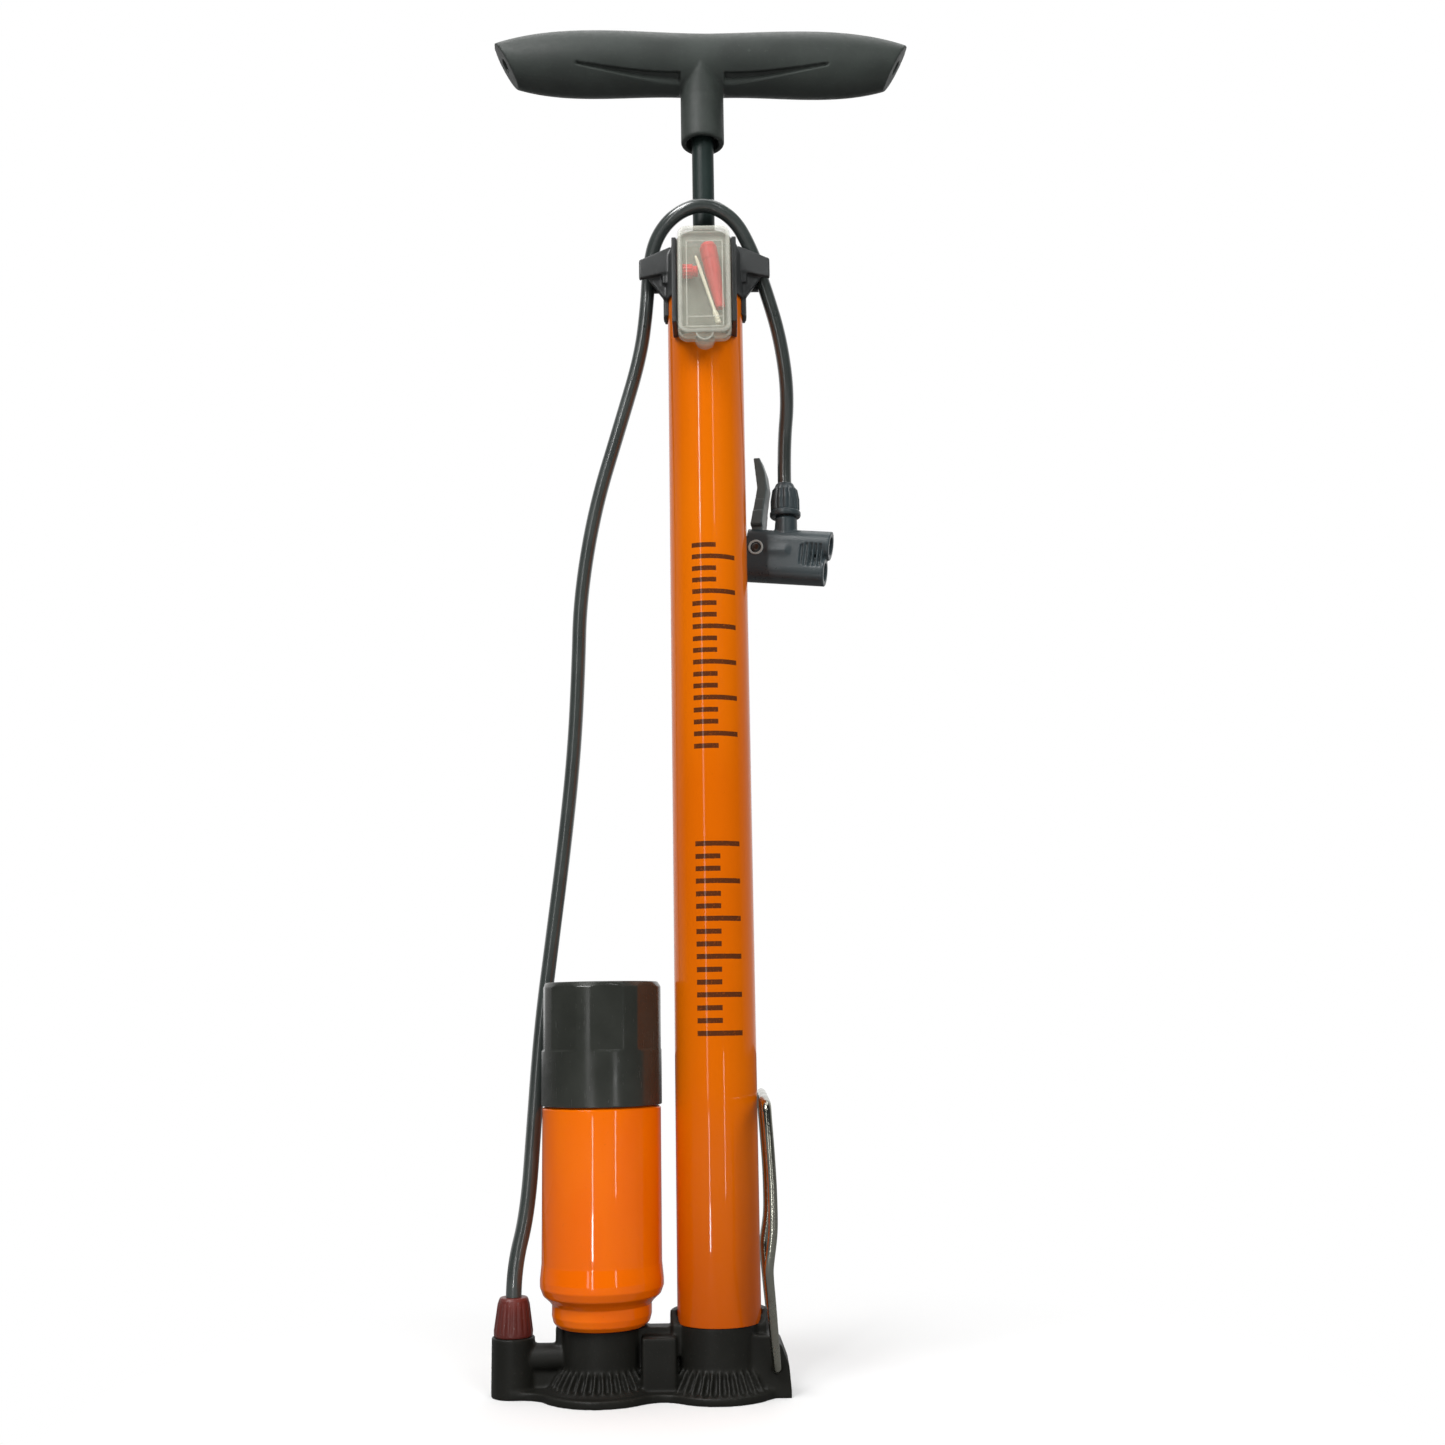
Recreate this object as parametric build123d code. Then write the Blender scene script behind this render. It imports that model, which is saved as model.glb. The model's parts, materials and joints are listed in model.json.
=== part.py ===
from build123d import *
import math
import os

# Floor pump for bicycle tyres, with an auxiliary air tank beside the barrel and a wire foot pedal.
# Millimetres, +Z up. The origin is on the barrel's axis, on the floor. The front faces -Y,
# the pedal is on the +X side and the tank on the -X side. The plunger is drawn fully down.

# ---- driving dimensions ----
BARREL_R = 18.6             # outside radius of the steel barrel
BARREL_WALL = 1.2
BARREL_BOTTOM = 30.0        # the barrel stands on the base's shoulder
BARREL_TOP = 530.0
TANK_X = -52.0              # axis of the air tank
TANK_R = 26.8
TANK_CAP_R = 27.3
TANK_CAP_Z = (124.0, 178.8)
TANK_FOOT = 29.2
POST_X = -91.2              # axis of the hose post
POST_R = 9.5
POST_TOP = 25.0
ROD_R = 5.5
HANDLE_Z = 643.0            # centre line of the grip
GRIP_END_SLANT = 29.0       # degrees, of the handle's end faces
HANDLE_TURN = 2.0           # the grip stands a little turned on its rod
HANDLE_HALF = 104.5         # half the grip's length
HUB_R = 11.0
HUB_BOTTOM = 599.0
CAP_R = 20.2                # skirt of the top cap
CAP_TOP = 545.0
CAP_SKIRT = 512.0           # lower edge of the skirt
HOSE_R = 3.5
HEAD_AT = (38.8, 27.0, 388.4)   # where the hose's line meets the valve head's middle
HEAD_YAW = -12.0            # the nozzles point a little to the front
HEAD_DROOP = 7.6            # and down
PEDAL_PIVOT = (24.6, 12.4)  # X and Z of the pedal's hinge line
PEDAL_WIRE_R = 2.0
CASE_W = 25.6               # accessory case: width, height, depth
CASE_H = 55.2
CASE_BOTTOM = 480.8
CASE_BACK = -24.6           # Y of its back face
CASE_DEPTH = 11.2
STROKE = 440.0              # plunger travel

# ---- clearances ----
RUNNING = 0.06              # radial, for shafts and pins in their bores
LOOSE = 0.35                # between faces that only pass each other
FIT = 0.03                  # radial, for pieces pressed or bonded together

BORE_R = BARREL_R - BARREL_WALL


# ---- small builders ----
def cyl(radius, z0, z1, x=0.0, y=0.0):
    return Pos(x, y, (z0 + z1) / 2) * Cylinder(radius, z1 - z0)


def ring(r_out, r_in, z0, z1, x=0.0, y=0.0):
    return cyl(r_out, z0, z1, x, y) - cyl(r_in, z0 - 1, z1 + 1, x, y)


def bar(x0, x1, y0, y1, z0, z1):
    return Pos((x0 + x1) / 2, (y0 + y1) / 2, (z0 + z1) / 2) * Box(x1 - x0, y1 - y0, z1 - z0)


def turned(points, x=0.0, y=0.0):
    """Turn a closed outline of (radius, height) points about a vertical axis."""
    face = Plane.XZ * make_face(Polyline(*points, close=True))
    return Pos(x, y, 0) * revolve(face, Axis.Z)


def along_x(radius, x0, x1, y=0.0, z=0.0):
    return Pos((x0 + x1) / 2, y, z) * Rot(0, 90, 0) * Cylinder(radius, x1 - x0)


def along_y(radius, y0, y1, x=0.0, z=0.0):
    return Pos(x, (y0 + y1) / 2, z) * Rot(90, 0, 0) * Cylinder(radius, y1 - y0)


def plate(points, y0, y1):
    """Extrude an outline of (x, z) points from y0 to y1."""
    face = Plane.XZ * make_face(Polyline(*points, close=True))
    return Pos(0, y0, 0) * extrude(face, amount=-(y1 - y0))


def around(piece, count, x=0.0, y=0.0, first=0.0):
    step = 360 / count
    return [Pos(x, y, 0) * Rot(0, 0, first + step * i) * piece for i in range(count)]


# ---- base ----
FOOT_T = 3.5
TANK_FOOT_R = 28.0
BARREL_FOOT_R = 26.0
STRIP_HALF = 9.8
LUG_END = 31.0
LUG_HALF = 12.0
SOCKET_R = 18.2             # under the barrel
TANK_SOCKET_R = 17.0
COLLAR_R = 21.8             # half ring behind the foot of the barrel
COLLAR_LOW = 17.0
COLLAR_TOP = 35.0
DUCT_Z = 16.2
DUCT_R = 5.8
DUCT_BORE = 2.2
SPIGOT_TOP = 46.0
SPIGOT_R = BORE_R - FIT
VALVE_BORE = 5.0
VALVE_FLOOR = 8.0
NECK_R = 6.0                # the tank's threaded neck
FITTING_R = 4.5
SEAL_R = 1.3                # section of the sealing rings


def foot_disc(radius, x):
    return turned([(0, 0), (radius, 0), (radius, 1.6), (radius - 5, 4.6), (0, 4.6)], x)


def flare(socket_r, x, count):
    """A ribbed foot round a socket: a cone with thin radial ribs on it."""
    cone = turned([(0, 0), (socket_r + 3.6, 0), (socket_r + 3.6, 3.6), (socket_r, 9.5), (0, 9.5)], x)
    outline = [(socket_r - 1, 1), (socket_r + 6.4, 1), (socket_r + 6.2, 4.4), (socket_r + 1, 12.2),
               (socket_r - 1, 12.2)]
    rib = plate(outline, -0.65, 0.65)
    return cone + around(rib, count, x)


def collar_front():
    """What is cut from the front of the barrel's collar, so that its rim falls towards the front."""
    outline = [(-30, 10), (-8, 10), (-8, BARREL_BOTTOM), (0, COLLAR_TOP), (0, 40), (-30, 40)]
    face = Plane.YZ * make_face(Polyline(*outline, close=True))
    return Pos(-30, 0, 0) * extrude(face, amount=60)


def base_outside():
    strip_len = LUG_END - POST_X
    strip = Pos((LUG_END + POST_X) / 2, 0) * Rectangle(strip_len, 2 * STRIP_HALF)
    plan = strip + Pos(TANK_X, 0) * Circle(TANK_FOOT_R) + Circle(BARREL_FOOT_R)
    plan = plan + Pos(POST_X, 0) * Circle(POST_R)
    plan = offset(offset(plan, 12, kind=Kind.ARC), -12, kind=Kind.ARC)
    body = extrude(plan, amount=FOOT_T)
    body += foot_disc(TANK_FOOT_R, TANK_X)
    body += foot_disc(BARREL_FOOT_R, 0)
    body += flare(TANK_SOCKET_R, TANK_X, 34)
    body += flare(SOCKET_R, 0, 36)
    body += cyl(TANK_SOCKET_R, 0, TANK_FOOT, TANK_X)
    body += cyl(SOCKET_R, 0, BARREL_BOTTOM)
    body += cyl(POST_R, 0, POST_TOP, POST_X)
    # collars behind the tank and the barrel
    tank_collar = ring(20.4, TANK_SOCKET_R - 1, 20, TANK_FOOT, TANK_X)
    body += tank_collar - bar(TANK_X - 30, TANK_X + 30, -30, -3, 15, 40)
    barrel_collar = ring(COLLAR_R, BARREL_R + FIT, COLLAR_LOW, COLLAR_TOP)
    barrel_collar += ring(COLLAR_R, SOCKET_R - 1, COLLAR_LOW, BARREL_BOTTOM)
    body += barrel_collar - collar_front()
    # air duct and the webs that carry it
    body += along_x(DUCT_R, POST_X, TANK_X, z=DUCT_Z)
    body += bar(POST_X, TANK_X, -2.5, 2.5, 0, DUCT_Z)
    body += bar(TANK_X, 0, -5, 5, 0, 28.6)
    body += bar(-33.7, -18.7, -13, 0, 0, 25.7)
    # lug of the pedal hinge
    outline = [(14, 0), (LUG_END, 0), (LUG_END, 3.5), (30.2, 13.0), (27.0, 21.6), (22.2, 25.6), (14, 26.2)]
    lug = plate(outline, -LUG_HALF, LUG_HALF)
    return body + (lug - cyl(SOCKET_R - 0.5, -1, 30))


def base_moulding():
    body = base_outside()
    body += cyl(SPIGOT_R, BARREL_BOTTOM - 1, SPIGOT_TOP)
    # groove of the barrel's sealing ring
    body -= ring(SPIGOT_R + 1, SPIGOT_R - 2 * SEAL_R, 38.0, 38.0 + 2 * SEAL_R + 0.3)
    # air passages
    body -= along_x(DUCT_BORE, POST_X, 0, z=DUCT_Z)
    body -= cyl(VALVE_BORE, VALVE_FLOOR, SPIGOT_TOP + 1)
    body -= cyl(NECK_R + FIT, DUCT_Z - 1.8, TANK_FOOT + 1, TANK_X)
    body -= cyl(FITTING_R + FIT, DUCT_Z - 1.8, POST_TOP + 1, POST_X)
    # pockets under the two foot discs
    body -= ring(23.5, 8.0, -1, 2.0, TANK_X)
    body -= ring(21.5, 8.0, -1, 2.0)
    # holes of the pedal's two wire ends
    pivot_x, pivot_z = PEDAL_PIVOT
    body -= along_y(PEDAL_WIRE_R + RUNNING, -LUG_HALF - 1, -4, pivot_x, pivot_z)
    body -= along_y(PEDAL_WIRE_R + RUNNING, 4, LUG_HALF + 1, pivot_x, pivot_z)
    return body


def barrel_seal():
    z = 38.0 + SEAL_R + 0.15
    return Pos(0, 0, z) * Torus(SPIGOT_R - SEAL_R + 0.02, SEAL_R - 0.03)


# ---- check valve under the barrel ----
BALL_R = 3.5
BALL_Z = 24.5
SEAT_Z = 27.0
SPRING_WIRE = 0.35


def valve_seat():
    return ring(VALVE_BORE - FIT, 2.5, SEAT_Z, SPIGOT_TOP)


def valve_ball():
    return Pos(0, 0, BALL_Z) * Sphere(BALL_R)


def valve_spring():
    z0 = VALVE_FLOOR + SPRING_WIRE + 0.05
    height = BALL_Z - BALL_R - 0.1 - SPRING_WIRE - z0
    path = Helix(pitch=height / 5, height=height, radius=2.6)
    section = Plane(origin=path @ 0, z_dir=path % 0) * Circle(SPRING_WIRE)
    return Pos(0, 0, z0) * sweep(section, path=path, is_frenet=True)


# ---- barrel and top cap ----
def barrel_tube():
    return ring(BARREL_R, BORE_R, BARREL_BOTTOM, BARREL_TOP)


HOLDER_HALF = 15.6
HOLDER_Z = (489.0, 532.5)
HOLDER_BACK = -22.4         # Y of the face the case slides on
HOLDER_FRONT = -30.5
CLIP_FRONT = (-9.6, -6.6)     # Y of the clips' front plates
BUSH_R = 8.0
BUSH_BOTTOM = 527.0
TONGUE_R = CAP_R + 0.5      # tongues below the skirt, one each side
TONGUE_LOW = 504.0


def hose_clip(side):
    """One open clip: a front plate, a web to the cap and a finger behind the hose."""
    web_x0, web_x1 = sorted((side * 17.0, side * 20.9))
    out_x0, out_x1 = sorted((side * 17.0, side * 32.4))
    front = plate([(side * 17.0, 525.2), (side * 32.4, 521.8), (side * 32.4, 531.6),
                   (side * 17.0, 538.6)], *CLIP_FRONT)
    web = bar(web_x0, web_x1, -9.0, 9.0, 519.5, 532.0)
    finger_x0, finger_x1 = sorted((side * 18.0, side * 29.6))
    finger = bar(finger_x0, finger_x1, 6.6, 9.4, 522.5, 531.0)
    gusset = plate([(side * 17.0, 513.0), (side * 20.6, 513.0), (side * 28.0, 523.2),
                    (side * 17.0, 526.0)], CLIP_FRONT[1] - 0.5, CLIP_FRONT[1] + 3.0)
    keep = bar(out_x0, out_x1, -10, 10, 500, 545)
    return (front + web + finger + gusset) & keep


def top_cap():
    cap = turned([(0, CAP_SKIRT), (CAP_R, CAP_SKIRT), (CAP_R, CAP_TOP - 11.0), (CAP_R - 1.0, CAP_TOP - 8.4),
                  (17.0, CAP_TOP - 3.4), (14.6, CAP_TOP), (0, CAP_TOP)])
    for side in (-1, 1):
        cap += hose_clip(side)
        tongue_x0, tongue_x1 = sorted((side * 14.0, side * TONGUE_R))
        tongue = bar(tongue_x0, tongue_x1, -5, 5, TONGUE_LOW, CAP_SKIRT + 3)
        cap += tongue & cyl(TONGUE_R, TONGUE_LOW - 1, CAP_SKIRT + 4)
    # channel that carries the accessory case
    cap += bar(-HOLDER_HALF, HOLDER_HALF, HOLDER_BACK, -12, *HOLDER_Z)
    for side in (-1, 1):
        flange_x0, flange_x1 = sorted((side * (CASE_W / 2 + 0.3), side * HOLDER_HALF))
        cap += bar(flange_x0, flange_x1, HOLDER_FRONT, HOLDER_BACK + 1, *HOLDER_Z)
        rail_x0, rail_x1 = sorted((side * 11.0, side * 14.3))
        cap -= bar(rail_x0, rail_x1, -25.2, HOLDER_BACK, HOLDER_Z[0] + 2.0, HOLDER_Z[1] + 1)
    cap -= cyl(BARREL_R + FIT, HOLDER_Z[0] - 2, BARREL_TOP + 0.2)
    cap += ring(11.0, BUSH_R, BUSH_BOTTOM, CAP_TOP - 1)
    cap -= cyl(BUSH_R + FIT, BUSH_BOTTOM - 1, CAP_TOP - 2.0)
    return cap - cyl(ROD_R + 0.5, CAP_TOP - 5, CAP_TOP + 1)


def rod_bush():
    return ring(BUSH_R, ROD_R + RUNNING, BUSH_BOTTOM, CAP_TOP - 2.0)


# ---- plunger ----
PISTON_Z = (53.2, 67.0)
WASHER_LOW = 52.0
GROOVE_Z = (58.0, 62.0)
GROOVE_DEPTH = 3.6
RING_SECTION = 1.55
STUD_R = 3.0
STUD_LOW = 48.0
ROD_SHOULDER = HANDLE_Z - 19.0  # the rod's end, inside the grip
STUD_TOP = HANDLE_Z - 5.0
NUT_POCKET = HANDLE_Z - 11.0    # floor of the pocket for the grip's nut
NUT_H = 4.9
PLUG_LOW = HANDLE_Z + 7.0
GRIP_TOP = HANDLE_Z + 20.0      # above the grip everywhere


def piston_rod():
    rod = cyl(ROD_R, PISTON_Z[1], ROD_SHOULDER)
    rod += cyl(STUD_R, STUD_LOW, PISTON_Z[1] + 1)
    return rod + cyl(STUD_R, ROD_SHOULDER - 1, STUD_TOP)


def piston_body():
    body = ring(BORE_R - LOOSE, STUD_R + FIT, *PISTON_Z)
    return body - ring(BORE_R + 1, BORE_R - GROOVE_DEPTH, *GROOVE_Z)


def piston_ring():
    z = sum(GROOVE_Z) / 2
    return Pos(0, 0, z) * Torus(BORE_R - 0.1 - RING_SECTION, RING_SECTION)


def hex_nut(across, bore, z0, z1):
    prism = Pos(0, 0, z0) * extrude(RegularPolygon(across / 2, 6, major_radius=False), amount=z1 - z0)
    return prism - cyl(bore, z0 - 1, z1 + 1)


def rod_bumper():
    return turned([(ROD_R + FIT, 67.2), (12.0, 67.2), (12.0, 76.0), (10.0, 78.5), (ROD_R + FIT, 78.5)])


PLUG_R = 6.1

# half heights and half depths of the grip, from its middle to its end
GRIP_SECTIONS = ((0, 16.2, 14.4, 0.2), (64, 16.8, 14.7, 0.9), (90, 14.0, 12.2, 1.1), (107, 8.8, 8.4, 1.9))


def grip_half(side):
    sections = []
    for x, half_z, half_y, lift in GRIP_SECTIONS:
        outline = Ellipse(half_y, half_z)
        place = Plane(origin=(side * x, 0, HANDLE_Z + lift), x_dir=(0, 1, 0), z_dir=(side, 0, 0))
        sections.append(place * outline)
    half = loft(sections)
    slant = Pos(side * (HANDLE_HALF - 4.0), 0, HANDLE_Z) * Rot(0, side * GRIP_END_SLANT, 0)
    half -= slant * Pos(side * 20, 0, 0) * Box(40, 60, 70)
    hole = slant * Pos(side * -6, 0, 0) * along_x(3.4, -10, 10)
    return half - hole


def handle_grip():
    grip = Rot(0, 0, HANDLE_TURN) * (grip_half(-1) + grip_half(1))
    grip += turned([(0, HUB_BOTTOM), (HUB_R - 0.8, HUB_BOTTOM), (HUB_R, HUB_BOTTOM + 0.8),
                    (HUB_R, HANDLE_Z - 4), (0, HANDLE_Z - 4)])
    # socket for the rod, wider at its mouth
    grip -= cyl(ROD_R + FIT, HUB_BOTTOM - 1, ROD_SHOULDER)
    grip -= cyl(8.4, HUB_BOTTOM - 1, HUB_BOTTOM + 7)
    grip -= cyl(STUD_R + FIT, ROD_SHOULDER - 1, STUD_TOP + 2)
    # pocket for the nut, open at the top, and its plug's seat
    return grip - cyl(PLUG_R + 0.1, NUT_POCKET, GRIP_TOP)


def handle_plug():
    """Domed plug that closes the nut's pocket on top of the grip."""
    return cyl(PLUG_R, PLUG_LOW, GRIP_TOP) & grip_core()


def grip_core():
    """The grip's own middle, which the plug's top follows."""
    _, half_z, half_y, lift = GRIP_SECTIONS[0]
    core = extrude(Plane.YZ * Ellipse(half_y, half_z), amount=10, both=True)
    return Pos(0, 0, HANDLE_Z + lift) * Rot(0, 0, HANDLE_TURN) * core


# ---- tank ----
def tank_shell():
    outside = [(0, TANK_FOOT), (19.6, TANK_FOOT), (21.4, 31.2), (22.1, 34.0), (22.1, 38.6), (23.4, 40.2),
               (26.2, 42.6), (27.5, 46.0), (27.5, 49.0), (TANK_R, 56.0), (TANK_R, 122.9), (25.0, 123.9),
               (25.0, 166.0), (23.8, 166.0), (23.8, 123.4), (25.6, 122.2), (25.6, 56.0), (26.3, 49.0),
               (26.3, 46.4), (25.4, 43.8), (22.4, 41.2), (20.9, 39.2), (20.9, 34.2), (20.2, 32.4),
               (19.0, 30.4), (0, 30.4)]
    shell = turned(outside, TANK_X)
    shell += cyl(NECK_R, 20.0, TANK_FOOT + 0.5, TANK_X)
    return shell - cyl(3.5, 19.0, 32.0, TANK_X)


GRIP_FLATS = 8
FLAT_Z = 149.0
FLAT_AT = 26.35             # distance of the grip flats from the axis


def tank_cap():
    z0, z1 = TANK_CAP_Z
    cap = turned([(0, z0), (TANK_CAP_R, z0), (TANK_CAP_R, z1 - 2.4), (TANK_CAP_R - 1.6, z1), (0, z1)], TANK_X)
    # shallow finger flats round the upper half
    flat = bar(FLAT_AT, FLAT_AT + 10, -15, 15, FLAT_Z, z1 + 10)
    for cutter in around(flat, GRIP_FLATS, TANK_X, 0, 10.0):
        cap -= cutter
    cap -= cyl(25.0 + FIT, z0 - 1, 169.0, TANK_X)
    return cap + ring(23.8 - FIT, 20.5, 160.0, 170.0, TANK_X)


def tank_seal():
    return Pos(TANK_X, 0, 167.5) * (Cylinder(24.9, 2.6) - Cylinder(23.9, 4))


# ---- hose and its fittings ----
NUT_TOP = 41.6
# The hose's route, from the post up behind the tank, over the left clip, round the rod's front
# and down through the right clip to the valve head.
ROUTE = [(-91.2, 0, 41.6), (-91.2, 0, 54), (-85.8, 4.5, 77), (-84.2, 13.5, 116), (-82.4, 22, 158),
         (-77.2, 24.5, 202), (-71.6, 24, 246), (-66.9, 21.5, 290), (-64.7, 18.5, 330), (-63.6, 16, 366),
         (-56.2, 12.5, 410), (-43.3, 9, 452), (-32.6, 5.5, 487), (-29.2, 3, 512), (-28.0, 1.6, 532),
         (-24.0, -5.5, 546), (-13.5, -12, 555.5), (1.0, -13.8, 559.6), (14.9, -10.5, 553.0),
         (23.4, -3.5, 540), (30.6, 2.8, 520.5), (37.6, 8.2, 497), (41.2, 15.5, 470), (38.8, 27, 446),
         (38.8, 27, 426.8)]


def hose_radii():
    radii = []
    for i in range(1, len(ROUTE) - 1):
        before, here, after = (Vector(*ROUTE[i + k]) for k in (-1, 0, 1))
        run = min((here - before).length, (after - here).length)
        turn = (here - before).get_angle(after - here)
        radii.append(0.45 * run / math.tan(math.radians(turn) / 2))
    return radii


def hose_tube():
    path = FilletPolyline(*ROUTE, radius=hose_radii())
    section = Plane(origin=path @ 0, z_dir=path % 0) * Circle(HOSE_R)
    tube = sweep(section, path=path)
    print("hose radii", [round(r, 1) for r in hose_radii()])
    print("hose length", round(path.length, 1), "volume ratio",
          round(tube.volume / (math.pi * HOSE_R ** 2 * path.length), 4))
    return tube


def hose_fitting():
    """Threaded stem in the post, with a flange and a barb for the hose."""
    stem = cyl(FITTING_R, DUCT_Z + 2.2, POST_TOP + 0.5, POST_X) + cyl(7.0, POST_TOP, POST_TOP + 3, POST_X)
    stem += cyl(2.0, POST_TOP + 2, NUT_TOP - 4, POST_X)
    return stem - cyl(1.1, DUCT_Z, NUT_TOP, POST_X)


def hose_nut():
    nut = turned([(0, POST_TOP), (8.4, POST_TOP), (8.7, POST_TOP + 1), (6.6, NUT_TOP - 1), (6.0, NUT_TOP),
                  (0, NUT_TOP)], POST_X)
    outline = [(5.2, POST_TOP + 1), (9.0, POST_TOP + 1), (6.95, NUT_TOP - 1.4), (5.2, NUT_TOP - 1.4)]
    rib = plate(outline, -0.5, 0.5)
    for piece in around(rib, 18, POST_X):
        nut += piece
    nut -= cyl(7.0 + 0.05, POST_TOP - 1, POST_TOP + 3.2, POST_X)
    nut -= cyl(3.6, POST_TOP, NUT_TOP - 2.5, POST_X)
    return nut - cyl(2.2, POST_TOP, NUT_TOP + 1, POST_X)


# ---- valve head, drawn about its own middle and then placed ----
BARREL_A = 6.9              # height of the upper nozzle above the head's middle
BARREL_B = -6.6             # height of the lower one
PIN_AT = (-14.6, 2.4)       # lever pin
NOZZLE_A_END = 22.4
NOZZLE_B_END = 20.6
NOZZLE_R = 7.2
HEAD_NUT_Z = (20.7, 38.4)   # above the head's middle
HEAD_PLACE = Pos(*HEAD_AT) * Rot(0, 0, HEAD_YAW)
DROOP = Rot(0, HEAD_DROOP, 0)   # from the upright neck to the drooping nozzles
LEVER_SLOT = 4.4            # half width of the slot for the lever's cam
CAM_R = 3.7
CAM_THROW = 1.5             # how far the cam's circle stands off the pin
GROMMET_R = 5.4
SCHRADER_R = 4.0
PRESTA_R = 3.0


def head_body():
    block = bar(-20.0, 13.0, -NOZZLE_R, NOZZLE_R, BARREL_B, BARREL_A)
    body = block + along_x(NOZZLE_R, -20.0, NOZZLE_A_END, z=BARREL_A)
    body += along_x(NOZZLE_R, -20.0, NOZZLE_B_END, z=BARREL_B)
    for y in (-1, 1):
        y0, y1 = sorted((y * 5.0, y * (NOZZLE_R + 0.5)))
        body += along_y(3.8, y0, y1, PIN_AT[0], PIN_AT[1])
    # slightly slanted mouths
    slant = Pos(NOZZLE_A_END, 0, 14) * Rot(0, 2.5, 0) * Pos(10, 0, -20) * Box(20, 40, 60)
    body -= slant
    neck_top = HEAD_NUT_Z[0] + 0.6
    neck = turned([(0, 8), (5.9, 8), (5.9, neck_top - 1.8), (5.0, neck_top - 1.2), (5.0, neck_top),
                   (0, neck_top)])
    body += DROOP.inverse() * (neck + cyl(3.6, neck_top - 1, neck_top + 6.6))
    # slot for the lever's cam and the pusher's plate, open to the top and the back end
    body -= bar(-22, -7.0, -LEVER_SLOT, LEVER_SLOT, -5.2, 22)
    body -= bar(-10.9, -5.2, -LEVER_SLOT, LEVER_SLOT, -10.2, 10.2)
    for z, end in ((BARREL_A, NOZZLE_A_END), (BARREL_B, NOZZLE_B_END)):
        body -= along_x(2.3, -8, 3, z=z)
        body -= along_x(GROMMET_R + FIT, 1.0, end - 2.6, z=z)
        body -= along_x(4.5, end - 4, end + 4, z=z)
    body -= along_y(2.0 + FIT, -10, 10, PIN_AT[0], PIN_AT[1])
    # air way from the hose to both nozzles
    return DROOP * body - cyl(1.4, BARREL_B, neck_top + 8)


def grommet(bore, z, end):
    """Rubber sleeve that grips a tyre valve."""
    return along_x(GROMMET_R, 6.0, end - 2.9, z=z) - along_x(bore, 5.0, end, z=z)


def cam_pusher():
    pusher = bar(-8.9, -6.9, -LEVER_SLOT + LOOSE, LEVER_SLOT - LOOSE, -9.6, 9.6)
    for z in (BARREL_A, BARREL_B):
        pusher += along_x(2.0, -7.5, 3.6, z=z)
        pusher += along_x(4.8, 3.4, 5.6, z=z)
    for z in (BARREL_A, BARREL_B):
        pusher -= along_x(1.0, 0, 8, z=z)
    return DROOP * pusher - cyl(1.2, -20, 20)


def head_lever():
    """Thumb lever: a cam in the slot, with a curved blade that stands up beside the hose."""
    half = LEVER_SLOT - LOOSE
    hub = along_y(CAM_R, -half, half, *PIN_AT)
    hub += along_y(CAM_R, -half, half, PIN_AT[0] + CAM_THROW, PIN_AT[1])
    pin = (DROOP * Pos(PIN_AT[0], 0, PIN_AT[1])).position
    root = plate([(pin.X - 3.6, pin.Z), (pin.X + 3.2, pin.Z), (pin.X + 3.0, 17.0), (pin.X - 2.4, 17.0)],
                 -half, half)
    blade = plate([(pin.X - 2.8, 16.2), (pin.X + 3.2, 16.2), (pin.X + 4.4, 27.0), (pin.X + 6.0, 36.0),
                   (pin.X + 5.0, 44.0), (pin.X + 2.6, 51.6), (pin.X - 0.6, 51.8), (pin.X + 0.2, 44.0),
                   (pin.X + 1.0, 36.0), (pin.X - 0.6, 27.0)], -5.6, 5.6)
    return DROOP * hub + root + blade - along_y(2.0 + RUNNING, -10, 10, pin.X, pin.Z)


def lever_pin():
    return along_y(2.0, -NOZZLE_R - 0.9, NOZZLE_R + 0.9, PIN_AT[0], PIN_AT[1])


def head_nut():
    z0, z1 = HEAD_NUT_Z
    nut = turned([(0, z0), (7.4, z0), (7.8, z0 + 0.8), (7.8, z0 + 2.4), (7.0, z0 + 3.2), (7.0, z0 + 9.0),
                  (6.0, z0 + 14.0), (4.4, z1 - 0.6), (4.0, z1), (0, z1)])
    outline = [(5.0, z0 + 2.8), (7.6, z0 + 2.8), (7.5, z0 + 9.0), (6.4, z0 + 14.0), (5.0, z0 + 14.0)]
    rib = plate(outline, -0.55, 0.55)
    for piece in around(rib, 14):
        nut += piece
    nut -= cyl(5.0 + 0.05, z0 - 1, z0 + 0.7)
    nut -= cyl(3.6 + 0.05, z0 - 1, z0 + 8.0)
    return nut - cyl(2.0, z0, z1 + 1)


# ---- pedal ----
def pedal_bail():
    """Wire loop: two pins in the lug, two splayed legs with a kink, and a crossbar."""
    pivot_x, pivot_z = PEDAL_PIVOT
    near = [(pivot_x, -5.0, pivot_z), (pivot_x, -16.0, pivot_z), (21.4, -33.0, 56.0), (23.8, -34.0, 74.0),
            (23.6, -34.0, 94.0), (22.0, -33.0, 124.6)]
    far = [(20.9, 33.0, 127.2), (22.9, 34.0, 94.0), (23.1, 34.0, 74.0), (20.6, 33.0, 57.5),
           (pivot_x, 16.0, pivot_z), (pivot_x, 5.0, pivot_z)]
    radii = [2.6, 9.0, 9.0, 40.0, 8.0]
    path = FilletPolyline(*near, *far, radius=radii + radii[::-1])
    section = Plane(origin=path @ 0, z_dir=path % 0) * Circle(PEDAL_WIRE_R)
    return sweep(section, path=path)


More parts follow.
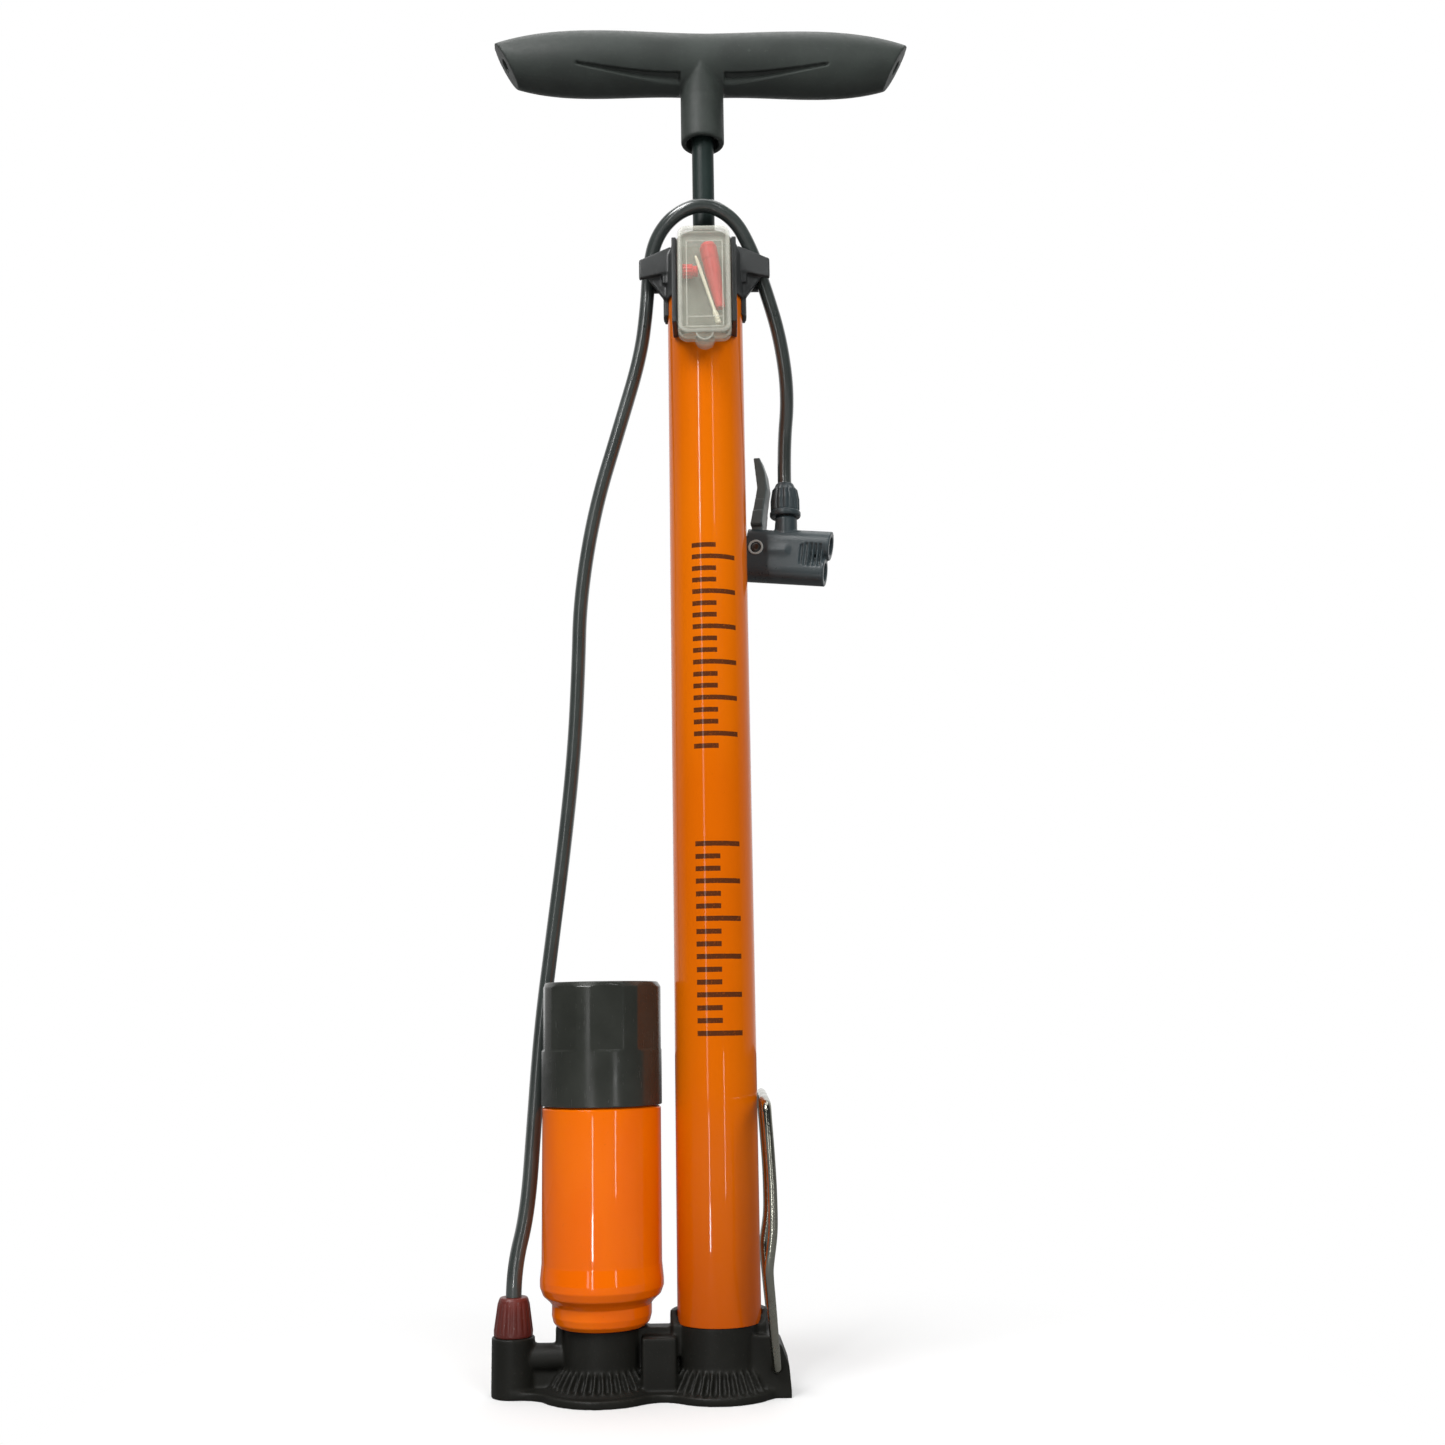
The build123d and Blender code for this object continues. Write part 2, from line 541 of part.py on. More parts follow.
# ---- accessory case ----
CASE_WALL = 1.0
CASE_SPLIT = CASE_BACK - 5.0        # Y of the parting face
CASE_FRONT = CASE_BACK - CASE_DEPTH
CASE_MID = CASE_BOTTOM + CASE_H / 2
CASE_CORNER = 4.4
BAY_WALL = 487.0                    # height of the low wall between the two compartments


def case_block(inset, y_back, y_front):
    outline = RectangleRounded(CASE_W - 2 * inset, CASE_H - 2 * inset, CASE_CORNER - inset)
    face = Plane.XZ * outline
    return Pos(0, y_front, CASE_MID) * extrude(face, amount=-(y_back - y_front))


def case_tray():
    tray = case_block(0, CASE_BACK, CASE_SPLIT)
    tray -= case_block(CASE_WALL, CASE_BACK - CASE_WALL, CASE_SPLIT - 1)
    # low wall between the two compartments
    tray += bar(-CASE_W / 2 + 0.5, CASE_W / 2 - 0.5, CASE_BACK - 3.2, CASE_BACK - 0.5, BAY_WALL, BAY_WALL + 1)
    # half of the round latch tab at the bottom
    tab = along_y(4.8, CASE_SPLIT, CASE_BACK, 0, CASE_BOTTOM + 0.8)
    tray += tab - bar(-5, 5, CASE_SPLIT - 1, CASE_BACK + 1, CASE_BOTTOM + 0.6, CASE_BOTTOM + 10)
    # slide behind it, with a rail each side
    slide_z = (HOLDER_Z[0] + 2.3, HOLDER_Z[1] - 2)
    for side in (-1, 1):
        x0, x1 = sorted((side * (CASE_W / 2 - 1.4), side * 14.0))
        tray += bar(x0, x1, CASE_BACK - 0.3, CASE_BACK + 1.4, *slide_z)
    return tray + bar(-12.0, 12.0, CASE_BACK - 0.5, HOLDER_BACK - LOOSE, *slide_z)


def case_lid():
    gap = 0.3
    lid = case_block(0, CASE_SPLIT - gap, CASE_FRONT)
    lid -= case_block(CASE_WALL, CASE_SPLIT + 1, CASE_FRONT + CASE_WALL)
    # raised frame on the front and the latch tab at the bottom
    frame_y = CASE_FRONT
    frame = case_block(2.4, frame_y + 0.5, frame_y - 0.4) - case_block(3.0, frame_y + 1, frame_y - 1)
    tab = along_y(4.4, CASE_FRONT, CASE_SPLIT - gap, 0, CASE_BOTTOM + 1.0)
    tab -= bar(-5, 5, CASE_FRONT - 1, CASE_SPLIT + 1, CASE_BOTTOM + 0.6, CASE_BOTTOM + 10)
    return lid + frame + tab


def ball_needle():
    """Needle for inflating balls, lying aslant across the case."""
    needle = turned([(0, -18.2), (0.6, -18.2), (0.8, -17), (0.8, 11.4), (1.4, 12.4), (1.4, 18.2), (0, 18.2)])
    return Pos(1.4, -33.3, 503.8) * Rot(0, 162.8, 0) * (needle - cyl(0.4, -20, 20))


def cone_nozzle():
    """Tapered nozzle for inflatables."""
    cone = turned([(0, -16.8), (2.3, -16.8), (4.0, 3), (4.0, 8), (4.2, 8.6), (4.2, 14.8), (3.2, 16.8),
                   (0, 16.8)])
    return Pos(4.7, -30.1, 512.2) * Rot(0, -10.0, 0) * (cone - cyl(0.9, -19, 19))


def valve_adapter():
    """Small adapter that screws on a narrow tyre valve."""
    body = turned([(0, -3.7), (3.4, -3.7), (3.4, 1.2), (2.6, 1.2), (2.6, 3.7), (0, 3.7)])
    return Pos(-6.6, -30.1, 514.8) * Rot(0, 90, 0) * (body - cyl(1.2, -5, 5))


# ---- build and write ----
def main():
    os.makedirs("parts", exist_ok=True)
    pieces = {
        "base_moulding": base_moulding(),
        "barrel_seal_ring": barrel_seal(),
        "check_valve_seat": valve_seat(),
        "check_valve_ball": valve_ball(),
        "check_valve_spring": valve_spring(),
        "barrel_tube": barrel_tube(),
        "top_cap": top_cap(),
        "rod_bush": rod_bush(),
        "piston_rod": piston_rod(),
        "piston_body": piston_body(),
        "piston_ring": piston_ring(),
        "piston_washer": ring(9.0, STUD_R + FIT, WASHER_LOW, PISTON_Z[0]),
        "piston_nut": hex_nut(10.0, STUD_R + FIT, STUD_LOW + 0.5, WASHER_LOW),
        "rod_bumper": rod_bumper(),
        "handle_grip": handle_grip(),
        "handle_nut": hex_nut(10.0, STUD_R + FIT, NUT_POCKET + 0.1, NUT_POCKET + 0.1 + NUT_H),
        "handle_plug": handle_plug(),
        "tank_shell": tank_shell(),
        "tank_cap": tank_cap(),
        "tank_seal": tank_seal(),
        "hose_fitting": hose_fitting(),
        "hose_nut": hose_nut(),
        "hose_tube": hose_tube(),
        "head_nut": HEAD_PLACE * head_nut(),
        "head_body": HEAD_PLACE * head_body(),
        "schrader_grommet": HEAD_PLACE * DROOP * grommet(SCHRADER_R, BARREL_A, NOZZLE_A_END),
        "presta_grommet": HEAD_PLACE * DROOP * grommet(PRESTA_R, BARREL_B, NOZZLE_B_END),
        "cam_pusher": HEAD_PLACE * cam_pusher(),
        "head_lever": HEAD_PLACE * head_lever(),
        "lever_pin": HEAD_PLACE * DROOP * lever_pin(),
        "pedal_bail": pedal_bail(),
        "case_tray": case_tray(),
        "case_lid": case_lid(),
        "ball_needle": ball_needle(),
        "cone_nozzle": cone_nozzle(),
        "valve_adapter": valve_adapter(),
    }
    for name, piece in pieces.items():
        piece.label = name
        export_step(piece, f"parts/{name}.step")


main()
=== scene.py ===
import json
import math
from functools import reduce
import bmesh
import bpy
import numpy as np
from mathutils import Matrix, Vector


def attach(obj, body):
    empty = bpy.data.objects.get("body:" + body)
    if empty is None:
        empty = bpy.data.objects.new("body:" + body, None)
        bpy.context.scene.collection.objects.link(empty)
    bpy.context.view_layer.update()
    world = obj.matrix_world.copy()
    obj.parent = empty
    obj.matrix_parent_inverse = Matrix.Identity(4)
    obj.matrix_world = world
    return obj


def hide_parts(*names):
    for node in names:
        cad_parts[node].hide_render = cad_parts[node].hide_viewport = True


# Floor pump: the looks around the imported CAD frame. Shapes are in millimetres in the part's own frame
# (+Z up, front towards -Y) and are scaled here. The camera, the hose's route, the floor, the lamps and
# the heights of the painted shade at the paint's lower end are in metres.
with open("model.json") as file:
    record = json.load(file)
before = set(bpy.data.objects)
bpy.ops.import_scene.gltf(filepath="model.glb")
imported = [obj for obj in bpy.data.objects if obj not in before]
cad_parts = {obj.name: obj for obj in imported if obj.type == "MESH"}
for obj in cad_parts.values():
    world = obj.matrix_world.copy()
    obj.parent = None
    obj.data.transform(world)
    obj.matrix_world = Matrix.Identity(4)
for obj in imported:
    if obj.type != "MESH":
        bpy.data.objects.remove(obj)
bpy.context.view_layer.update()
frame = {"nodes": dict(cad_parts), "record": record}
NODES = frame["nodes"]
MM = 0.001


def srgb(r, g, b):
    """Linear colour from 0 to 255 display values."""
    def one(v):
        v /= 255
        return v / 12.92 if v <= 0.04045 else ((v + 0.055) / 1.055) ** 2.4
    return (one(r), one(g), one(b), 1.0)


def link(obj):
    bpy.context.scene.collection.objects.link(obj)
    return obj


# ---- camera: low in front of the pump, tilted up ----
LENS = 38.91
CAMERA_AT = (0.0055, -0.7284, 0.1632)
CAMERA_PITCH = 10.6
CAMERA_ROLL = -0.9

lens = bpy.data.cameras.new("camera")
lens.lens = LENS
lens.sensor_width = 36.0
lens.clip_start = 0.01
camera = link(bpy.data.objects.new("camera", lens))
camera.matrix_world = (Matrix.Translation(CAMERA_AT)
                       @ Matrix.Rotation(math.radians(90 + CAMERA_PITCH), 4, "X")
                       @ Matrix.Rotation(math.radians(CAMERA_ROLL), 4, "Z"))
bpy.context.scene.camera = camera
bpy.context.scene.view_settings.view_transform = "Standard"


# ---- materials ----
SHARP = (0.51, 0.6)                 # pointiness of a barely sharp and of a fully sharp edge
DUST = srgb(150, 148, 142)
# painted shade: the colour that the paint's lower end darkens towards
PAINT_FOOT_SHADE = srgb(178, 74, 2)
PAINT_PIT = srgb(120, 60, 25)
PRINT_INK = srgb(74, 40, 22)
FOOT_SHADE_Z = (0.03, 0.13)               # painted shade: the paint darkens towards the bottom, and this fades out between these heights, in metres


class Surface:
    """A principled material whose colour, roughness and bump are built from nodes."""

    def __init__(self, name, rough, metallic=0.0, specular=0.5, coat=0.0, coat_rough=0.05):
        self.material = bpy.data.materials.new(name)
        self.material.use_nodes = True
        self.tree = self.material.node_tree
        self.shader = self.tree.nodes["Principled BSDF"]
        self.shader.inputs["Metallic"].default_value = metallic
        self.shader.inputs["Specular IOR Level"].default_value = specular
        self.shader.inputs["Roughness"].default_value = rough
        if coat:
            self.shader.inputs["Coat Weight"].default_value = coat
            self.shader.inputs["Coat Roughness"].default_value = coat_rough
        self.place = self.node("ShaderNodeTexCoord").outputs["Object"]

    def node(self, kind, **settings):
        made = self.tree.nodes.new(kind)
        for key, value in settings.items():
            setattr(made, key, value)
        return made

    def feed(self, socket, value):
        if isinstance(value, bpy.types.NodeSocket):
            self.tree.links.new(value, socket)
        else:
            socket.default_value = value

    def noise(self, size, detail=3.0, stretch=(1, 1, 1), rough=0.5):
        """Noise whose features are about size millimetres across."""
        at = self.node("ShaderNodeMapping")
        at.inputs["Scale"].default_value = stretch
        self.feed(at.inputs["Vector"], self.place)
        made = self.node("ShaderNodeTexNoise")
        made.inputs["Scale"].default_value = 1000.0 / size
        made.inputs["Detail"].default_value = detail
        made.inputs["Roughness"].default_value = rough
        self.feed(made.inputs["Vector"], at.outputs["Vector"])
        return made.outputs["Fac"]

    def ramp(self, value, low, high, to_low=0.0, to_high=1.0):
        made = self.node("ShaderNodeMapRange")
        for key, v in zip(("Value", "From Min", "From Max", "To Min", "To Max"),
                          (value, low, high, to_low, to_high)):
            self.feed(made.inputs[key], v)
        return made.outputs["Result"]

    def math(self, operation, a, b=0.0):
        made = self.node("ShaderNodeMath", operation=operation)
        self.feed(made.inputs[0], a)
        self.feed(made.inputs[1], b)
        return made.outputs["Value"]

    def mix(self, factor, a, b):
        made = self.node("ShaderNodeMix", data_type="RGBA")
        self.feed(made.inputs["Factor"], factor)
        self.feed(made.inputs["A"], a)
        self.feed(made.inputs["B"], b)
        return made.outputs["Result"]

    def axes(self):
        """The object's own X, Y and Z at each point, in metres."""
        made = self.node("ShaderNodeSeparateXYZ")
        self.feed(made.inputs["Vector"], self.place)
        return [made.outputs[k] for k in "XYZ"]

    def edges(self):
        """1 on sharp convex edges, 0 on flats."""
        return self.ramp(self.node("ShaderNodeNewGeometry").outputs["Pointiness"], *SHARP)

    def bump(self, *layers):
        """Stacks (height socket, depth in millimetres) into the normal."""
        normal = None
        for height, depth in layers:
            made = self.node("ShaderNodeBump")
            made.inputs["Strength"].default_value = 1.0
            made.inputs["Distance"].default_value = depth * MM
            self.feed(made.inputs["Height"], height)
            if normal is not None:
                self.feed(made.inputs["Normal"], normal)
            normal = made.outputs["Normal"]
        self.feed(self.shader.inputs["Normal"], normal)

    def colour(self, value):
        self.feed(self.shader.inputs["Base Color"], value)

    def rough(self, value):
        self.feed(self.shader.inputs["Roughness"], value)


def scaled(colour, k):
    """The colour, k times as bright."""
    return tuple(min(1.0, c * k) for c in colour[:3]) + (1.0,)


def moulded_plastic(name, colour, rough, vary=0.16, grain=0.5, depth=0.012, specular=0.5, wear=0.35,
                    dust=0.12):
    """Injection-moulded plastic: fine texture, cloudy gloss, rubbed edges and a little dust."""
    s = Surface(name, rough, specular=specular)
    cloud = s.noise(22.0, 4.0)
    tone = s.mix(s.ramp(cloud, 0.35, 0.65), scaled(colour, 1 - vary), scaled(colour, 1 + vary))
    rubbed = s.math("MULTIPLY", s.edges(), s.ramp(s.noise(3.0), 0.4, 0.62, 0.25, 1.0))
    tone = s.mix(s.math("MULTIPLY", rubbed, wear), tone, scaled(colour, 2.6))
    specks = s.ramp(s.noise(1.1, 2.0), 0.66, 0.74)
    tone = s.mix(s.math("MULTIPLY", specks, dust), tone, DUST)
    s.colour(tone)
    fine = s.noise(grain, 2.0)
    gloss = s.math("ADD", s.ramp(cloud, 0.3, 0.7, -0.07, 0.07),
                   s.ramp(s.noise(2.6, 5.0), 0.3, 0.7, -0.05, 0.05))
    s.rough(s.math("ADD", gloss, s.math("ADD", rough, s.math("MULTIPLY", rubbed, -0.12))))
    s.bump((fine, depth), (s.noise(7.0, 2.0), depth * 2.5))
    return s.material


def glossy_plastic(name, colour, rough, ripple=0.05, specular=0.5, coat=0.0):
    """Polished plastic or hose: slow ripples, hairline scuffs and a clear sheen."""
    s = Surface(name, rough, specular=specular, coat=coat, coat_rough=0.06)
    cloud = s.noise(16.0, 3.0)
    tone = s.mix(s.ramp(cloud, 0.35, 0.65), scaled(colour, 0.9), scaled(colour, 1.1))
    scuffs = s.ramp(s.noise(1.3, 5.0, (1, 1, 0.12), 0.7), 0.62, 0.74)
    s.colour(s.mix(s.math("MULTIPLY", scuffs, 0.10), tone, scaled(colour, 3.0)))
    gloss = s.ramp(cloud, 0.3, 0.7, rough - 0.04, rough + 0.05)
    s.rough(s.math("ADD", gloss, s.math("MULTIPLY", scuffs, 0.35)))
    s.bump((s.noise(5.0, 2.0), ripple), (s.noise(0.7, 2.0), 0.004))
    return s.material


def enamel(name, colour, deep, marks=None, ripple=0.012, foot=0.0, coat=0.8):
    """Baked paint on steel: orange peel, a cloudy film thickness, small scuffs and pits. The lower end is
    darkened by painted shade, by the share that foot gives, and marks builds the mask of what is printed on
    it."""
    s = Surface(name, 0.3, specular=0.02, coat=coat, coat_rough=0.04)
    s.shader.inputs["Coat IOR"].default_value = 1.45
    cloud = s.noise(60.0, 3.0, (1, 1, 0.35))
    tone = s.mix(s.ramp(cloud, 0.36, 0.64), deep, colour)
    scuffs = s.ramp(s.noise(1.2, 4.0, (0.35, 0.35, 1), 0.7), 0.66, 0.76)
    tone = s.mix(s.math("MULTIPLY", scuffs, 0.16), tone, scaled(colour, 0.55))
    height = s.axes()[2]
    # painted shade: darker towards the bottom, fading out upwards
    tone = s.mix(s.ramp(height, *FOOT_SHADE_Z, foot, 0.0), tone, PAINT_FOOT_SHADE)
    pits = s.ramp(s.noise(0.9, 1.0), 0.73, 0.78)
    tone = s.mix(s.math("MULTIPLY", pits, 0.12), tone, PAINT_PIT)
    if marks:
        tone = s.mix(marks(s), tone, PRINT_INK)
    s.colour(tone)
    s.rough(s.math("ADD", s.ramp(cloud, 0.3, 0.7, 0.24, 0.36), s.math("MULTIPLY", scuffs, 0.3)))
    s.bump((s.noise(1.6, 2.0), 0.006), (s.noise(18.0, 2.0, (1, 1, 0.25)), ripple))
    return s.material


MARK_GROUPS = ((283.0, 386.0), (150.8, 241.8))     # the heights of the two rows of strokes
MARK_PITCH = 17.0
MARK_LEFT = -7.8
MARK_STROKES = ((1.0, 3.3, 12.4), (6.6, 8.9, 3.6), (12.2, 14.5, 3.6))   # low, high, right end in a pitch


def graduation(s):
    """Plain printed strokes across the front of the barrel: a long one and two short ones by turns."""
    x, y, z = (s.math("DIVIDE", socket, MM) for socket in s.axes())
    front = s.math("LESS_THAN", y, 0.0)

    def between(value, low, high):
        return s.math("MULTIPLY", s.math("GREATER_THAN", value, low), s.math("LESS_THAN", value, high))

    def any_of(masks):
        return reduce(lambda one, other: s.math("MAXIMUM", one, other), masks)

    zone = any_of([between(z, low, high) for low, high in MARK_GROUPS])
    step = s.math("FLOORED_MODULO", z, MARK_PITCH)
    strokes = any_of([s.math("MULTIPLY", between(step, low, high), between(x, MARK_LEFT, right))
                      for low, high, right in MARK_STROKES])
    worn = s.ramp(s.noise(0.8, 3.0), 0.3, 0.42, 0.72, 0.95)
    return s.math("MULTIPLY", s.math("MULTIPLY", strokes, worn), s.math("MULTIPLY", zone, front))


def metal(name, colour, rough, grind=(1, 1, 1), stain=srgb(92, 84, 70), stains=0.5, wave=0.02):
    """Plated or bare metal with drawing lines, cloudy plating and small stains."""
    s = Surface(name, rough, metallic=1.0)
    lines = s.noise(0.35, 4.0, grind, 0.6)
    cloud = s.noise(9.0, 4.0)
    tone = s.mix(s.ramp(lines, 0.3, 0.7), scaled(colour, 0.82), colour)
    tone = s.mix(s.ramp(s.noise(3.2, 5.0), 0.6, 0.76, 0.0, stains), tone, stain)
    s.colour(tone)
    s.rough(s.math("ADD", s.ramp(cloud, 0.3, 0.7, rough - 0.07, rough + 0.09),
                   s.ramp(lines, 0.4, 0.6, -0.04, 0.04)))
    s.bump((lines, wave * 0.4), (cloud, wave))
    return s.material


def rubber(name, colour):
    """Matt rubber with a fine grain."""
    s = Surface(name, 0.6, specular=0.4)
    cloud = s.noise(6.0, 4.0)
    s.colour(s.mix(s.ramp(cloud, 0.35, 0.65), scaled(colour, 0.75), scaled(colour, 1.35)))
    s.rough(s.ramp(cloud, 0.3, 0.7, 0.5, 0.72))
    s.bump((s.noise(0.6, 3.0), 0.02))
    return s.material


def frosted(name, colour, alpha, rough=0.3):
    """Thin milky polypropylene: cloudy, lightly rippled, see-through."""
    s = Surface(name, rough, specular=0.5)
    cloud = s.noise(8.0, 4.0)
    s.colour(s.mix(s.ramp(cloud, 0.35, 0.65), scaled(colour, 0.92), scaled(colour, 1.05)))
    s.rough(s.ramp(s.noise(5.0, 3.0), 0.3, 0.7, rough - 0.06, rough + 0.06))
    s.shader.inputs["Alpha"].default_value = alpha
    s.bump((s.noise(2.2, 3.0), 0.004), (s.noise(9.0, 2.0), 0.02))
    return s.material


ORANGE = srgb(220, 109, 2)
ORANGE_DEEP = srgb(211, 98, 1)
TANK_ORANGE = srgb(244, 120, 0)
TANK_DEEP = srgb(234, 102, 0)

MATERIALS = {
    "base_plastic": moulded_plastic("base_plastic", srgb(27, 27, 24), 0.5, depth=0.02, specular=0.22,
                                    dust=0.03),
    "cap_plastic": moulded_plastic("cap_plastic", srgb(50, 52, 52), 0.42, dust=0.06),
    "handle_plastic": moulded_plastic("handle_plastic", srgb(52, 57, 54), 0.56, grain=0.7, depth=0.02,
                                      specular=0.38, dust=0.04),
    # the barrel's paint has painted shade at its lower end
    "barrel_paint": enamel("barrel_paint", ORANGE, ORANGE_DEEP, marks=graduation, foot=0.85, coat=0.6),
    "tank_paint": enamel("tank_paint", TANK_ORANGE, TANK_DEEP, ripple=0.035),
    "tank_cap_plastic": glossy_plastic("tank_cap_plastic", srgb(46, 48, 44), 0.22, ripple=0.06),
    "rod_black": glossy_plastic("rod_black", srgb(34, 44, 42), 0.42, ripple=0.01, specular=0.18),
    "piston_plastic": moulded_plastic("piston_plastic", srgb(60, 62, 66), 0.45),
    "bush_nylon": moulded_plastic("bush_nylon", srgb(196, 192, 180), 0.5, vary=0.05, wear=0.1),
    "seal_rubber": rubber("seal_rubber", srgb(28, 28, 29)),
    "zinc_steel": metal("zinc_steel", srgb(186, 186, 178), 0.24, grind=(1, 1, 0.06)),
    "spring_steel": metal("spring_steel", srgb(160, 162, 164), 0.3),
    "brass": metal("brass", srgb(196, 160, 92), 0.28, grind=(1, 1, 0.2), stain=srgb(120, 84, 40)),
    "hose_nut_red": moulded_plastic("hose_nut_red", srgb(92, 36, 30), 0.42, vary=0.2, depth=0.03, dust=0.2),
    "hose_pvc": glossy_plastic("hose_pvc", srgb(54, 60, 58), 0.3, ripple=0.03, specular=0.7, coat=1.0),
    "head_plastic": moulded_plastic("head_plastic", srgb(53, 62, 65), 0.34, vary=0.05, dust=0.02),
    "lever_plastic": moulded_plastic("lever_plastic", srgb(80, 89, 89), 0.42, vary=0.08, dust=0.03),
    "case_clear": frosted("case_clear", srgb(199, 199, 184), 0.3),
    "lid_clear": frosted("lid_clear", srgb(202, 203, 188), 0.15, 0.2),
    # painted highlight: the raised edges are paler than the rest of the case
    "case_edge_highlight": frosted("case_edge_highlight", srgb(232, 232, 220), 0.27, 0.2),
    "accessory_red": glossy_plastic("accessory_red", srgb(216, 36, 44), 0.34),
    "pin_dull": metal("pin_dull", srgb(120, 121, 118), 0.5, stains=0.3),
    "rim_grey": moulded_plastic("rim_grey", srgb(150, 153, 149), 0.42, dust=0.04),
    "needle_pale": moulded_plastic("needle_pale", srgb(240, 234, 208), 0.35, vary=0.05, dust=0.02),
    "wire_chrome": metal("wire_chrome", srgb(172, 172, 160), 0.2, grind=(1, 1, 0.05), stains=0.25,
                         wave=0.006),
}


# ---- mesh builders: a part is (vertices in millimetres, faces) ----
LONG_SIDE = 1.6         # sides longer than this get a point near each end, which keeps them flat
SIDE_END = 0.3


def soften(outline, radius, closed=True, steps=4):
    """Rounds the corners of a section outline. radius is one for all corners or a list."""
    points = [Vector(p) for p in outline]
    n = len(points)
    radii = radius if isinstance(radius, (list, tuple)) else [radius] * n
    out = []
    for i, here in enumerate(points):
        if not closed and i in (0, n - 1) or radii[i] <= 0:
            out.append(here)
            continue
        before, after = points[i - 1] - here, points[(i + 1) % n] - here
        turn = math.pi - before.angle(after, 0.0)
        if turn < 0.05:
            out.append(here)
            continue
        reach = min(radii[i] * math.tan(turn / 2), 0.45 * before.length, 0.45 * after.length)
        a, b = here + before.normalized() * reach, here + after.normalized() * reach
        for k in range(steps + 1):
            t = k / steps
            out.append(a * (1 - t) ** 2 + here * (2 * t * (1 - t)) + b * t ** 2)
    full = []
    for i, p in enumerate(out):
        full.append(p)
        if not closed and i == len(out) - 1:
            break
        q = out[(i + 1) % len(out)]
        gap = (q - p).length
        if gap > LONG_SIDE:
            full += [p.lerp(q, SIDE_END / gap), q.lerp(p, SIDE_END / gap)]
    return [(p[0], p[1]) for p in full]


def lathe(outline, steps=96, closed=True, shape=None):
    """Turns an outline of (radius, height) points about Z. An open one starts and ends on the axis."""
    verts, faces = [], []
    for r, z in outline:
        for k in range(steps):
            a = 2 * math.pi * k / steps
            rr = shape(a, r, z) if shape else r
            verts.append((rr * math.cos(a), rr * math.sin(a), z))
    rows = len(outline)
    for i in range(rows if closed else rows - 1):
        j = (i + 1) % rows
        for k in range(steps):
            m = (k + 1) % steps
            faces.append((i * steps + k, i * steps + m, j * steps + m, j * steps + k))
    if not closed:
        faces += [tuple(range(steps)), tuple(range((rows - 1) * steps, rows * steps))]
    return verts, faces


def loops(rings):
    """Skins closed loops of equal count, with flat ends."""
    n = len(rings[0])
    verts = [p for ring in rings for p in ring]
    faces = [tuple(range(n)), tuple(range((len(rings) - 1) * n, len(rings) * n))]
    for i in range(len(rings) - 1):
        for k in range(n):
            m = (k + 1) % n
            faces.append((i * n + k, i * n + m, (i + 1) * n + m, (i + 1) * n + k))
    return verts, faces


def merged(*parts):
    """Several parts as one."""
    verts, faces = [], []
    for v, f in parts:
        faces += [tuple(i + len(verts) for i in face) for face in f]
        verts += list(v)
    return verts, faces


def moved(part, matrix):
    return [tuple(matrix @ Vector(v)) for v in part[0]], part[1]


def shift(x=0.0, y=0.0, z=0.0):
    return Matrix.Translation((x, y, z))


def turn(axis, degrees):
    return Matrix.Rotation(math.radians(degrees), 4, axis)


def rounded_rect(half_x, half_z, corner, steps=6):
    """A loop of (x, z) points, anticlockwise."""
    out = []
    for sx, sz, first in ((1, 1, 0), (-1, 1, 90), (-1, -1, 180), (1, -1, 270)):
        for k in range(steps + 1):
            a = math.radians(first + 90 * k / steps)
            out.append((sx * (half_x - corner) + corner * math.cos(a),
                        sz * (half_z - corner) + corner * math.sin(a)))
    return out


def finish_mesh(name, verts, faces):
    """A Blender mesh in metres, smooth except on its flat ends."""
    mesh = bpy.data.meshes.new(name)
    mesh.from_pydata([(x * MM, y * MM, z * MM) for x, y, z in verts], [], faces)
    bm = bmesh.new()
    bm.from_mesh(mesh)
    bmesh.ops.recalc_face_normals(bm, faces=bm.faces)
    for f in bm.faces:
        f.smooth = len(f.verts) <= 4
    bm.to_mesh(mesh)
    bm.free()
    return mesh


def piece(name, mesh, body, slot, *nodes, material=None):
    """One visible piece: rides on a body, takes a slot's finish and stands for CAD nodes."""
    obj = link(bpy.data.objects.new(name, mesh))
    mesh.materials.clear()
    mesh.materials.append(MATERIALS[material or slot])
    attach(obj, body)
    if nodes:
        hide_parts(*nodes)
    return obj


def built(name, part, body, slot, *nodes, material=None):
    """A piece made from a part."""
    return piece(name, finish_mesh(name, *part), body, slot, *nodes, material=material)


def baked(obj, name):
    """The mesh of an object with its modifiers or bevel applied. The object itself goes."""
    bpy.context.view_layer.update()
    mesh = bpy.data.meshes.new_from_object(obj.evaluated_get(bpy.context.evaluated_depsgraph_get()))
    bpy.data.objects.remove(obj)
    mesh.name = name
    mesh.polygons.foreach_set("use_smooth", [True] * len(mesh.polygons))
    return mesh


def nurbs(name, path, radius, bevel_steps, path_steps):
    """A round line along control points, all in metres."""
    line = bpy.data.curves.new(name, "CURVE")
    line.dimensions = "3D"
    line.bevel_depth = radius
    line.bevel_resolution = bevel_steps
    line.use_fill_caps = True
    spline = line.splines.new("NURBS")
    spline.points.add(len(path) - 1)
    for point, at in zip(spline.points, path):
        point.co = (*at, 1.0)
    spline.order_u = 3
    spline.use_endpoint_u = True
    spline.resolution_u = path_steps
    return link(bpy.data.objects.new(name, line))


